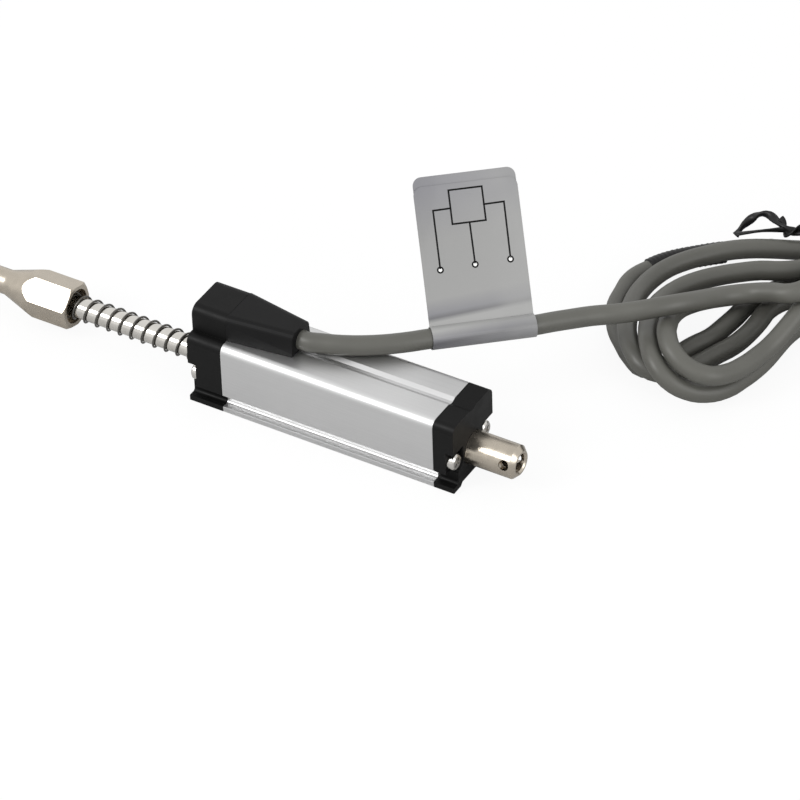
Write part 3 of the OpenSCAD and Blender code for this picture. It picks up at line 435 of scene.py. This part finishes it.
def circle(parts):
    """The cosine and sine at each part of a full turn."""
    return [(math.cos(2 * math.pi * k / parts), math.sin(2 * math.pi * k / parts))
            for k in range(parts)]


def bridge(bm, rings, closed=False):
    """Joins rings of points with faces, and caps the ends unless the rings run round."""
    sides = len(rings[0])
    for a, b in zip(rings, rings[1:] + rings[:closed]):
        for k in range(sides):
            bm.faces.new((a[k], a[(k + 1) % sides], b[(k + 1) % sides], b[k]))
    if not closed:
        bm.faces.new(rings[0][::-1])
        bm.faces.new(rings[-1])


def tangent(points, i):
    """The direction of a line of points at one of them."""
    return (points[min(i + 1, len(points) - 1)] - points[max(i - 1, 0)]).normalized()


def add_sweep(bm, points, radii, sides=16, up=Vector((0, 0, 1))):
    """Sweeps a ring along points, in metres, with one radius for each point."""
    rings = []
    for i, p in enumerate(points):
        t = tangent(points, i)
        side = t.cross(up)
        side = side.normalized() if side.length > 1e-6 else Vector((1, 0, 0))
        high = side.cross(t)
        rings.append([bm.verts.new(p + radii[i] * (c * side + s * high))
                      for c, s in circle(sides)])
    bridge(bm, rings)


def smooth_path(points, steps):
    """A Catmull-Rom curve through the points, as many steps a span."""
    p = [2 * points[0] - points[1], *points, 2 * points[-1] - points[-2]]
    out = []
    for i in range(1, len(p) - 2):
        for k in range(steps):
            t = k / steps
            a, b, c, d = p[i - 1:i + 3]
            out.append(0.5 * (2 * b + (c - a) * t + (2 * a - 5 * b + 4 * c - d) * t ** 2
                              + (3 * b - a - 3 * c + d) * t ** 3))
    out.append(points[-1].copy())
    return out


def paint(piece, *materials):
    for material in materials:
        piece.data.materials.append(material)


def finish_node(name, material, edge=0.0, segments=2):
    """A CAD node's own finish, and a small rounding of its edges in millimetres."""
    piece = NODES[name]
    piece.data.materials.clear()
    paint(piece, material)
    if edge:
        weld = piece.modifiers.new("weld", "WELD")
        weld.merge_threshold = 1e-6
        bevel = piece.modifiers.new("edge", "BEVEL")
        bevel.width = edge * MM
        bevel.segments = segments
        bevel.limit_method = "ANGLE"
        bevel.angle_limit = math.radians(35)
        bevel.use_clamp_overlap = True
        bevel.miter_outer = "MITER_ARC"
        normals = piece.modifiers.new("normals", "WEIGHTED_NORMAL")
        normals.keep_sharp = True
        normals.weight = 80


# The cable's route

def on_hank(u, w, z):
    """A point of the wound cable's own length and width, in the frame, in millimetres."""
    c, s = math.cos(HANK_TURN), math.sin(HANK_TURN)
    return Vector((HANK_X + u * c - w * s, HANK_Y + u * s + w * c, z))


def lead_points():
    """The whole lead, from the boot to inside the shrunk sleeve, in metres."""
    return [mm(p) for p in CABLE_ROUTE + COIL_ROUTE + TAIL_ROUTE + SLEEVE_ROUTE[1:3]]


# What a user would change

class SensorFinish(bpy.types.PropertyGroup):
    """Colours of the sensor's own parts"""
    aluminium: FloatVectorProperty(
        name="Aluminium", description="Colour of the anodised body", subtype="COLOR",
        default=(0.64, 0.64, 0.64), min=0, max=1)
    plastic: FloatVectorProperty(
        name="Caps", description="Colour of the moulded end caps", subtype="COLOR",
        default=(0.004, 0.004, 0.004), min=0, max=1)
    boot: FloatVectorProperty(
        name="Boot", description="Colour of the cable boot", subtype="COLOR",
        default=(0.005, 0.005, 0.0052), min=0, max=1)
    nickel: FloatVectorProperty(
        name="Nickel", description="Colour of the coupling and the rear sleeve", subtype="COLOR",
        default=(0.49, 0.44, 0.37), min=0, max=1)
    steel: FloatVectorProperty(
        name="Steel", description="Colour of the polished rod", subtype="COLOR",
        default=(0.66, 0.64, 0.60), min=0, max=1)
    edge: FloatProperty(
        name="Edge", description="Rounding of the moulded edges", default=0.25 * MM,
        min=0, soft_max=0.5 * MM, unit="LENGTH", precision=5)


class SensorSpring(bpy.types.PropertyGroup):
    """The return spring's wire"""
    outer: FloatProperty(
        name="Outer diameter", description="Outer diameter of the coil", default=6.2 * MM,
        min=5.8 * MM, max=6.6 * MM, unit="LENGTH", precision=5)
    wire: FloatProperty(
        name="Wire", description="Diameter of the spring wire", default=0.5 * MM,
        min=0.3 * MM, max=0.6 * MM, unit="LENGTH", precision=5)
    flare: FloatProperty(
        name="Flare", description="How far the first turn stands out of the coil",
        default=0.7 * MM, min=0, max=0.8 * MM, unit="LENGTH", precision=5)
    turns: IntProperty(
        name="Open turns", description="Turns between the closed end turns", default=12,
        min=8, max=14)


class SensorCable(bpy.types.PropertyGroup):
    """The lead and what is on it"""
    diameter: FloatProperty(
        name="Cable", description="Diameter of the cable's sheath", default=4.6 * MM,
        min=4 * MM, max=4.8 * MM, unit="LENGTH", precision=5)
    sheath: FloatVectorProperty(
        name="Sheath", description="Colour of the cable's sheath", subtype="COLOR",
        default=(0.088, 0.087, 0.076), min=0, max=1)
    film: FloatVectorProperty(
        name="Label", description="Colour of the label's film", subtype="COLOR",
        default=(0.245, 0.245, 0.241), min=0, max=1)


class SensorStage(bpy.types.PropertyGroup):
    """The floor and the lamps"""
    floor: FloatVectorProperty(
        name="Floor", description="Colour of the floor", subtype="COLOR",
        default=(0.5, 0.5, 0.5), min=0, max=1)
    key: FloatProperty(
        name="Key light", description="Power of the main lamp", default=3.2, min=0,
        unit="POWER")
    fill: FloatProperty(
        name="Fill light", description="Power of the side lamp", default=1.6, min=0,
        unit="POWER")
    room: FloatProperty(
        name="Room light", description="Strength of the even light round the object",
        default=1.0, min=0, max=2)


# Operators

class SENSOR_OT_camera(bpy.types.Operator):
    """Set the photograph's camera"""
    bl_idname = "sensor.camera"
    bl_label = "Camera"

    def execute(self, context):
        right, down, forward = (Vector(v) for v in (CAMERA_RIGHT, CAMERA_DOWN, CAMERA_FORWARD))
        data = bpy.data.cameras.new("camera")
        data.lens = CAMERA_LENS
        data.sensor_width = CAMERA_SENSOR
        data.clip_start = 0.05
        data.clip_end = 20
        camera = bpy.data.objects.new("camera", data)
        turn = Matrix((right, -down, -forward)).transposed().to_4x4()
        camera.matrix_world = Matrix.Translation(CAMERA_PLACE) @ turn
        context.scene.collection.objects.link(camera)
        context.scene.camera = camera
        return {"FINISHED"}


def sheath_material(colour):
    """Soft grey cable sheath: fine texture, and clouds in its tone and dull sheen."""
    s = Surface("cable sheath", colour, 0.46)
    fine = s.group(GRAIN, Scale=3000.0, Contrast=0.4)
    clouds = s.group(GRAIN, Scale=70.0, Contrast=0.6)
    s.tint(clouds.outputs["Mask"], [c * 0.9 for c in colour], [c * 1.08 for c in colour])
    s.spread(clouds.outputs["Mask"], "Roughness", 0.4, 0.52)
    s.bump(fine.outputs["Mask"], 0.000012, 0.5)
    return s.material


def make_cores():
    """The three stripped cores beyond the sleeve, with tinned ends."""
    end = Vector(SLEEVE_ROUTE[-1])
    t = (end - Vector(SLEEVE_ROUTE[-2])).normalized()
    side = Vector((-t.y, t.x, 0)).normalized()
    tin = turned("tinned copper", (0.7, 0.69, 0.66), 0.3)
    pieces = []
    for name, place in CORE_SIDES.items():
        *route, tip = (end + along * t + place * off * side for along, off in CORE_LINE)
        line = smooth_path(route, 6)
        bm = bmesh.new()
        add_sweep(bm, [mm(p) for p in line], [CORE_D / 2 * MM] * len(line))
        sheath_faces = len(bm.faces)
        strand = [mm(line[-1] * (1 - share) + tip * share) for share, _ in STRAND]
        add_sweep(bm, strand, [radius * MM for _, radius in STRAND], 12)
        bm.faces.ensure_lookup_table()
        for face in bm.faces[sheath_faces:]:
            face.material_index = 1
        piece = from_bmesh(f"{name}_core", bm)
        colour = CORE_COLOURS[name]
        paint(piece, moulded(f"{name} insulation", colour, 0.35, 3500.0, 0.000004, 1.1), tin)
        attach(piece, "root")
        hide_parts(f"core_{name}")
        pieces.append(piece)
    return pieces


def make_sleeve(diameter):
    """The shrunk sleeve over the end of the sheath, with its ends drawn in."""
    line = smooth_path([mm(p) for p in SLEEVE_ROUTE], 10)
    radii = []
    for i in range(len(line)):
        ripple = sum(height * math.sin(i * pace) for height, pace in SLEEVE_RIPPLES)
        lip = SLEEVE_LIP if i in (0, len(line) - 1) else 0
        radii.append(diameter / 2 + (SLEEVE_WALL + ripple - lip) * MM)
    bm = bmesh.new()
    add_sweep(bm, line, radii, 24)
    piece = from_bmesh("shrunk_sleeve", bm)
    paint(piece, moulded("shrunk sleeve", (0.008, 0.008, 0.008), 0.38, 2600.0, 0.00001, 1.3, 0.25))
    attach(piece, "root")
    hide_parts("end_sleeve")
    return piece


def label_frame():
    """The label's own frame: X along the cable, Z up its flag."""
    return (Matrix.Translation(LABEL_MID) @ Matrix.Rotation(LABEL_HEAD, 4, "Z")
            @ Matrix.Rotation(LABEL_DIP, 4, "Y") @ Matrix.Rotation(-LABEL_LEAN, 4, "X"))


def flag_bend(x, z):
    """How far the film stands off its plane, in millimetres, as it curls above its foot."""
    rise = max(z - FLAG_FOOT, 0)
    return FLAG_CURL * rise * rise * (1 + FLAG_WAVE * math.sin(x * FLAG_PACE))


def film_grid(bm, offset, width, low, high, place, columns=24, rows=30, corner_rows=8):
    """One layer of the flag as a thin closed sheet, with its upper corners rounded."""
    shoulder = high - LABEL_CORNER
    levels = [(low + (shoulder - low) * j / rows, 0.0) for j in range(rows + 1)]
    for k in range(1, corner_rows + 1):
        a = math.pi / 2 * k / corner_rows
        levels.append((shoulder + LABEL_CORNER * math.sin(a), LABEL_CORNER * (1 - math.cos(a))))
    front, back = [], []
    for grid, y in ((front, offset - FILM_T / 2), (back, offset + FILM_T / 2)):
        for z, inset in levels:
            half = width / 2 - inset
            places = [-half + 2 * half * i / columns for i in range(columns + 1)]
            grid.append([bm.verts.new((place @ Vector((x, y + flag_bend(x, z), z))) * MM)
                         for x in places])
    top = len(levels) - 1
    for j in range(top):
        for i in range(columns):
            bm.faces.new((front[j][i], front[j][i + 1], front[j + 1][i + 1], front[j + 1][i]))
            bm.faces.new((back[j][i], back[j + 1][i], back[j + 1][i + 1], back[j][i + 1]))
    rim = ([(j, 0) for j in range(top)] + [(top, i) for i in range(columns)]
           + [(j, columns) for j in range(top, 0, -1)] + [(0, i) for i in range(columns, 0, -1)])
    for (j, i), (k, m) in zip(rim, rim[1:] + rim[:1]):
        bm.faces.new((front[j][i], front[k][m], back[k][m], back[j][i]))


def film_material(colour, place):
    """Pale film, with painted highlight and painted shade in bands up the flag that fade along the
    cable.
    """
    s = Surface("label film", colour, 0.42, Coat_Weight=0.15)
    clouds = s.group(GRAIN, Scale=60.0, Detail=2.0)
    fine = s.group(GRAIN, Scale=2500.0, Detail=2.0, Contrast=0.3)
    where = s.node("ShaderNodeTexCoord")
    shares = []
    for axis, (low, high) in (((0, 0, 1), PAINTED_LIGHT_UP), ((1, 0, 0), PAINTED_LIGHT_ALONG)):
        axis = place.to_3x3() @ Vector(axis)
        reach = s.node("ShaderNodeVectorMath", operation="DOT_PRODUCT")
        reach.inputs[1].default_value = axis
        s.link(where.outputs["Object"], reach.inputs[0])
        base = LABEL_MID.dot(axis)
        share = s.node("ShaderNodeMapRange",
                       From_Min=(base + low) * MM, From_Max=(base + high) * MM)
        s.link(reach.outputs["Value"], share.inputs["Value"])
        shares.append(share.outputs["Result"])
    up, along = shares
    shift = s.node("ShaderNodeMath", operation="MULTIPLY_ADD")
    shift.inputs[1].default_value = PAINTED_LIGHT_SHIFT
    s.link(along, shift.inputs[0])
    s.link(up, shift.inputs[2])
    # Painted light and shade: dark low on the fold, a painted highlight band above it, a dark
    # bluish streak for a painted reflection, and painted shade towards the top of the flag
    ramp = s.node("ShaderNodeValToRGB")
    while len(ramp.color_ramp.elements) < len(PAINTED_LIGHT_STOPS):
        ramp.color_ramp.elements.new(1.0)
    for stop, (at, tone) in zip(ramp.color_ramp.elements, PAINTED_LIGHT_STOPS):
        stop.position = at
        tints = (tone, tone, tone * (1.0 if tone > 0.9 else 1.1))
        stop.color = (*(min(1, c * tint) for c, tint in zip(colour, tints)), 1)
    s.link(shift.outputs[0], ramp.inputs["Fac"])
    # The painted streaks and shade fade lighter along the cable
    fade = s.node("ShaderNodeMix", data_type="RGBA")
    fade.inputs[7].default_value = (*(c * 1.12 for c in colour), 1)
    s.link(along, fade.inputs[0])
    s.link(ramp.outputs["Color"], fade.inputs[6])
    tone = s.tint(clouds.outputs["Mask"], [c * 0.95 for c in colour], [c * 1.04 for c in colour])
    s.link(fade.outputs[2], tone.inputs[7])
    s.link(ramp.outputs["Color"], tone.inputs[6])
    s.spread(clouds.outputs["Mask"], "Roughness", 0.36, 0.48)
    s.bump(fine.outputs["Mask"], 0.000006, 0.5)
    return s.material


def make_film(ring, place, colour):
    """The label's film, folded round the cable and stuck to itself."""
    bm = bmesh.new()
    for offset, wider, foot, top in FILM_LAYERS:
        film_grid(bm, offset, LABEL_W + wider, ring + foot, LABEL_H + ring + top, place)
    rings = []
    for r in (ring + FILM_ROUND[0], ring + FILM_ROUND[1]):
        for end in (-1, 1):
            rings.append([bm.verts.new((place @ Vector((
                end * LABEL_W / 2, r * math.sin(math.radians(a)),
                r * math.cos(math.radians(a))))) * MM) for a in range(3, 358, 8)])
    count = len(rings[0])
    for a, b in ((0, 1), (2, 3), (0, 2), (1, 3)):
        for k in range(count - 1):
            bm.faces.new((rings[a][k], rings[b][k], rings[b][k + 1], rings[a][k + 1]))
    for k in (0, count - 1):
        bm.faces.new((rings[0][k], rings[1][k], rings[3][k], rings[2][k]))
    film = from_bmesh("flag_label", bm, smooth=False)
    paint(film, film_material(colour, place))
    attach(film, "root")
    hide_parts("cable_label")
    return film


class LabelPrint:
    """The label's print, as thin raised ink on the front of the flag."""

    def __init__(self, ring, place):
        self.bm = bmesh.new()
        self.ring = ring
        self.place = place
        self.pale = []

    def at(self, across, up):
        """A point of the print, from its shares of the flag's width and height."""
        return Vector(((across - 0.5) * LABEL_W, 0, self.ring + up * PRINT_H))

    def line(self, shares, parts=12):
        """Points on straight lines, close enough to follow the film's bend."""
        corners = [self.at(*share) for share in shares]
        out = []
        for p, q in zip(corners, corners[1:]):
            out += [p + (q - p) * k / parts for k in range(parts)]
        return out + [corners[-1]]

    def vert(self, p, face, lift):
        """A corner of the ink, lifted off the film as it lies at the point called face."""
        y = flag_bend(face.x, face.z) - FILM_Y - FILM_T / 2 + lift
        return self.bm.verts.new((self.place @ Vector((p.x, y, p.z))) * MM)

    def stroke(self, points, width):
        """A printed line: a thin raised band along the points."""
        for p, q in zip(points, points[1:]):
            along = (q - p).normalized()
            across = Vector((-along.z, 0, along.x)) * width / 2
            p, q = p - along * width / 2, q + along * width / 2
            low, high = [], []
            for c in (p - across, q - across, q + across, p + across):
                low.append(self.vert(c, c, INK_FOOT))
                high.append(self.vert(c, c, INK_TOP))
            self.bm.faces.new(high)
            self.bm.faces.new(low[::-1])
            for k in range(4):
                self.bm.faces.new((low[k], low[(k + 1) % 4], high[(k + 1) % 4], high[k]))

    def terminal(self, centre):
        """A terminal's ring with its pale middle."""
        turn = [Vector((c, 0, s)) for c, s in circle(ROUND_PARTS)]
        self.stroke([centre + RIM_R * n for n in turn + turn[:1]], RIM_W)
        low, high = ([self.vert(centre + DISC_R * n, centre, lift) for n in turn]
                     for lift in (INK_FOOT, DISC_TOP))
        self.pale.append(self.bm.faces.new(high))
        self.bm.faces.new(low[::-1])
        for k in range(ROUND_PARTS):
            m = (k + 1) % ROUND_PARTS
            self.bm.faces.new((low[k], low[m], high[m], high[k]))


def make_print(ring, place):
    """The circuit printed on the label."""
    ink = LabelPrint(ring, place)
    ink.stroke(ink.line(PRINT_BOX), LINE_W)
    for shares, end in PRINT_LINES:
        ink.stroke(ink.line(shares), LINE_W)
        ink.terminal(ink.at(*end))
    for face in ink.pale:
        face.material_index = 1
    piece = from_bmesh("label_print", ink.bm, smooth=False)
    paint(piece, moulded("label ink", (0.004, 0.004, 0.004), 0.45, 3000.0, 0.000002, 1.0, 0.1),
          moulded("pale ink", (0.75, 0.75, 0.74), 0.45, 3000.0, 0.000002, 1.0))
    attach(piece, "root")
    return piece


def tie_outline(radius):
    """The outline of a band pulled tight round the turns, at a radius from their centres."""
    ways = [Vector(n) for n in circle(TIE_PARTS)]
    return [max((Vector(p) for p in TIE_TURNS), key=n.dot) + radius * n for n in ways]


def add_ribbon(bm, route, width, thick, twists, start, spread):
    """A flat strip along a route of the wound cable, twisted as it goes, in millimetres."""
    line = smooth_path([Vector(p) for p in route], 8)
    rings = []
    for i, p in enumerate(line):
        t = tangent(line, i)
        side = t.cross(Vector((0, 0, 1))).normalized()
        high = side.cross(t)
        a = start + 2 * math.pi * twists * i / (len(line) - 1)
        across = math.cos(a) * side + math.sin(a) * high
        up = math.cos(a) * high - math.sin(a) * side
        ring = [p + (spread + width / 2 * c) * across + thick / 2 * s * up for c, s in circle(12)]
        rings.append([bm.verts.new(on_hank(q.x, q.y, max(q.z, 0.2)) * MM) for q in ring])
    bridge(bm, rings)


def make_tie(diameter):
    """The tie round the waist of the wound turns, and its twisted ends."""
    bm = bmesh.new()
    loop = tie_outline(diameter / MM / 2 + TIE_GAP)
    rings = []
    for p, (c, s) in zip(loop, circle(TIE_PARTS)):
        rings.append([bm.verts.new(on_hank(
            TIE_U + TIE_SKEW * s + along, p.x + c * h, max(p.y + s * h, 0.03)) * MM)
            for along, h in TIE_SECTION])
    bridge(bm, rings, closed=True)
    for ribbon in TIE_RIBBONS:
        add_ribbon(bm, *ribbon)
    piece = from_bmesh("twist_tie", bm)
    paint(piece, moulded("tie plastic", (0.006, 0.006, 0.006), 0.36, 2400.0, 0.000008, 1.3, 0.3))
    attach(piece, "root")
    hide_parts("cable_tie")
    return piece


class SENSOR_OT_cable(bpy.types.Operator):
    """Lay the lead, its sleeve and cores, its label and the tie round its turns"""
    bl_idname = "sensor.cable"
    bl_label = "Cable"

    def execute(self, context):
        look = context.scene.sensor_cable
        points = lead_points()
        data = bpy.data.curves.new("lead", "CURVE")
        data.dimensions = "3D"
        data.bevel_depth = look.diameter / 2
        data.bevel_resolution = 5
        data.resolution_u = 3
        data.use_fill_caps = True
        spline = data.splines.new("BEZIER")
        spline.bezier_points.add(len(points) - 1)
        for knot, p in zip(spline.bezier_points, points):
            knot.co = p
            knot.handle_left_type = knot.handle_right_type = "AUTO"
        lead = bpy.data.objects.new("lead", data)
        context.scene.collection.objects.link(lead)
        paint(lead, sheath_material(tuple(look.sheath)))
        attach(lead, "root")
        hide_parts("cable", "cable_coil", "cable_tail")
        place, ring = label_frame(), look.diameter / MM / 2 + FILM_GAP
        pieces = [make_sleeve(look.diameter), *make_cores(),
                  make_film(ring, place, tuple(look.film)), make_print(ring, place),
                  make_tie(look.diameter)]
        return {"FINISHED"}


class SENSOR_OT_housing(bpy.types.Operator):
    """Finish the extruded body and its two caps"""
    bl_idname = "sensor.housing"
    bl_label = "Housing"

    def execute(self, context):
        look = context.scene.sensor_finish
        body = anodised("anodised aluminium", tuple(look.aluminium))
        finish_node("housing_profile", body, 0.12)
        cap = moulded("cap plastic", tuple(look.plastic), 0.45, edge_highlight=1.15, gloss=0.14)
        for name in ("front_cap", "rear_cap"):
            finish_node(name, cap, look.edge / MM)
        boot = moulded("boot rubber", tuple(look.boot), 0.42, 3200.0, 0.000008, 1.15, 0.14)
        finish_node("cable_boot", boot, 0.5, 3)
        return {"FINISHED"}


class SENSOR_OT_rod(bpy.types.Operator):
    """Finish the rod, its coupling, ball and rear sleeve"""
    bl_idname = "sensor.rod"
    bl_label = "Rod"

    def execute(self, context):
        look = context.scene.sensor_finish
        nickel = turned("nickel plate", tuple(look.nickel), 0.26)
        steel = turned("polished rod", tuple(look.steel), 0.13, 0.2)
        finish_node("hex_coupling", nickel, 0.12)
        finish_node("rod_end_sleeve", nickel, 0.1)
        finish_node("push_rod", steel)
        finish_node("contact_ball", turned("ball steel", (0.7, 0.7, 0.69), 0.08, 0.05))
        finish_node("rod_clip", turned("clip steel", (0.4, 0.39, 0.37), 0.3))
        return {"FINISHED"}


class SENSOR_OT_spring(bpy.types.Operator):
    """Wind the return spring"""
    bl_idname = "sensor.spring"
    bl_label = "Spring"

    def execute(self, context):
        look = context.scene.sensor_spring
        low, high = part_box("return_spring")
        radius = (look.outer - look.wire) / 2
        x0, x1 = low.x + look.wire / 2, high.x - look.wire / 2
        closed = look.wire * CLOSED_PITCH
        turns = look.turns + 2
        points = []
        for i in range(turns * TURN_STEPS + 1):
            n = i / TURN_STEPS
            if n < 1:
                x = x0 + n * closed
            elif n > turns - 1:
                x = x1 - (turns - n) * closed
            else:
                x = x0 + closed + (n - 1) * (x1 - x0 - 2 * closed) / look.turns
            a = 2 * math.pi * n
            wide = radius + look.flare * max(0, 1 - n / FLARE_TURNS)
            points.append(Vector((x, wide * math.sin(a), AXIS_Z + wide * math.cos(a))))
        bm = bmesh.new()
        add_sweep(bm, points, [look.wire / 2] * len(points), 10, Vector((1, 0, 0)))
        piece = from_bmesh("spring_wire", bm)
        paint(piece, turned("spring steel", (0.13, 0.125, 0.115), 0.28, 0.2))
        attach(piece, "root")
        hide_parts("return_spring")
        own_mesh(piece)
        return {"FINISHED"}


class SENSOR_OT_screws(bpy.types.Operator):
    """Finish the four cap screws"""
    bl_idname = "sensor.screws"
    bl_label = "Screws"

    def execute(self, context):
        steel = turned("screw nickel", (0.62, 0.6, 0.57), 0.24)
        for end in ("front", "rear"):
            for side in ("near", "far"):
                finish_node(f"{end}_screw_{side}", steel, 0.12)
        return {"FINISHED"}


class SENSOR_OT_inside(bpy.types.Operator):
    """Finish the measuring parts, bearings and leads inside the housing"""
    bl_idname = "sensor.inside"
    bl_label = "Inside"

    def execute(self, context):
        bronze = speckled("sintered bronze", (0.3, 0.2, 0.09), (0.55, 0.38, 0.18),
                          0.4, 1.0, 3500.0, 0.00001)
        gold = turned("gold plate", (0.83, 0.62, 0.28), 0.22)
        finishes = {
            "front_bushing": bronze,
            "rear_bushing": bronze,
            "rod_wiper": speckled("felt", (0.03, 0.03, 0.026), (0.08, 0.08, 0.07),
                                  0.95, 0.0, 2200.0, 0.00005),
            "front_buffer": moulded("buffer rubber", (0.02, 0.02, 0.02), 0.6),
            "track_board": speckled("board laminate", (0.02, 0.12, 0.05), (0.035, 0.19, 0.08),
                                    0.4, 0.0, 1800.0, 0.000006),
            "resistive_track": moulded("carbon film", (0.02, 0.02, 0.02), 0.5),
            "collector_track": gold,
            "wiper_finger_near": gold,
            "wiper_finger_far": gold,
            "wiper_carriage": moulded("carriage plastic", (0.72, 0.69, 0.6), 0.45, edge_highlight=1.05),
        }
        for colour, value in CORE_COLOURS.items():
            finishes[f"wire_{colour}"] = moulded(f"{colour} lead", value, 0.35, edge_highlight=1.1)
        for name, material in finishes.items():
            finish_node(name, material)
        return {"FINISHED"}


def area_lamp(name, place, size, power):
    """A soft lamp that points at the object and doesn't show itself."""
    data = bpy.data.lights.new(name, "AREA")
    data.shape = "DISK"
    data.size = size
    data.energy = power
    lamp = bpy.data.objects.new(name, data)
    lamp.location = place
    lamp.rotation_euler = (LAMP_TARGET - Vector(place)).to_track_quat("-Z", "Y").to_euler()
    lamp.visible_camera = False
    bpy.context.scene.collection.objects.link(lamp)


def camera_share(tree, plain, seen, share=1.0):
    """A shader that turns from one to another where the camera itself looks at it."""
    path = add_node(tree, "ShaderNodeLightPath")
    part = add_node(tree, "ShaderNodeMath", operation="MULTIPLY")
    part.inputs[1].default_value = share
    mix = add_node(tree, "ShaderNodeMixShader")
    tree.links.new(path.outputs["Is Camera Ray"], part.inputs[0])
    tree.links.new(part.outputs[0], mix.inputs["Fac"])
    tree.links.new(plain.outputs[0], mix.inputs[1])
    tree.links.new(seen.outputs[0], mix.inputs[2])
    return mix.outputs[0]


class SENSOR_OT_stage(bpy.types.Operator):
    """Lay the floor and set the lamps"""
    bl_idname = "sensor.stage"
    bl_label = "Stage"

    def execute(self, context):
        look = context.scene.sensor_stage
        bm = bmesh.new()
        bmesh.ops.create_grid(bm, x_segments=1, y_segments=1, size=FLOOR_SIZE)
        for vert in bm.verts:
            vert.co.z = FLOOR_Z
        floor = from_bmesh("floor", bm, smooth=False)
        s = Surface("floor paint", tuple(look.floor), 0.9)
        clouds = s.group(GRAIN, Scale=3.0, Detail=2.0, Contrast=0.3)
        s.tint(clouds.outputs["Mask"], [c * 0.99 for c in look.floor], tuple(look.floor))
        glow = s.node("ShaderNodeEmission", Strength=FLOOR_GLOW, Color=WHITE)
        s.link(camera_share(s.tree, s.shader, glow, FLOOR_SHARE),
               s.tree.nodes["Material Output"].inputs["Surface"])
        paint(floor, s.material)

        world = bpy.data.worlds.new("room")
        world.use_nodes = True
        context.scene.world = world
        tree = world.node_tree
        room, clear = tree.nodes["Background"], add_node(tree, "ShaderNodeBackground")
        for background, strength in ((room, look.room), (clear, 1.0)):
            background.inputs["Color"].default_value = WHITE
            background.inputs["Strength"].default_value = strength
        tree.links.new(camera_share(tree, room, clear),
                       tree.nodes["World Output"].inputs["Surface"])

        for name, (place, size) in LAMPS.items():
            area_lamp(name, place, size, getattr(look, name))
        context.scene.view_settings.view_transform = "Standard"
        return {"FINISHED"}


class SENSOR_PT_panel(bpy.types.Panel):
    """The sensor's pieces and their settings"""
    bl_idname = "SENSOR_PT_panel"
    bl_label = "Linear Displacement Sensor"
    bl_space_type = "VIEW_3D"
    bl_region_type = "UI"
    bl_category = "Sensor"

    def draw(self, context):
        for group in GROUPS:
            name = group_name(group)
            box = self.layout.box()
            box.label(text=group.__doc__)
            for key in group.__annotations__:
                box.prop(getattr(context.scene, name), key)
        for operator in OPERATORS:
            self.layout.operator(operator.bl_idname)


GROUPS = (SensorFinish, SensorSpring, SensorCable, SensorStage)
OPERATORS = (SENSOR_OT_camera, SENSOR_OT_cable, SENSOR_OT_housing, SENSOR_OT_rod,
             SENSOR_OT_spring, SENSOR_OT_screws, SENSOR_OT_inside, SENSOR_OT_stage)


def group_name(group):
    """The scene's name for a group of settings, such as sensor_cable."""
    return "sensor_" + group.__name__.removeprefix("Sensor").lower()


def register():
    for cls in GROUPS + OPERATORS + (SENSOR_PT_panel,):
        bpy.utils.register_class(cls)
    for group in GROUPS:
        setattr(bpy.types.Scene, group_name(group), PointerProperty(type=group))


def unregister():
    for group in GROUPS:
        delattr(bpy.types.Scene, group_name(group))
    for cls in reversed(GROUPS + OPERATORS + (SENSOR_PT_panel,)):
        bpy.utils.unregister_class(cls)


def main():
    """Builds the whole scene."""
    register()
    for operator in OPERATORS:
        area, name = operator.bl_idname.split(".")
        getattr(getattr(bpy.ops, area), name)()
    bpy.context.view_layer.update()


if __name__ == "__main__":
    main()
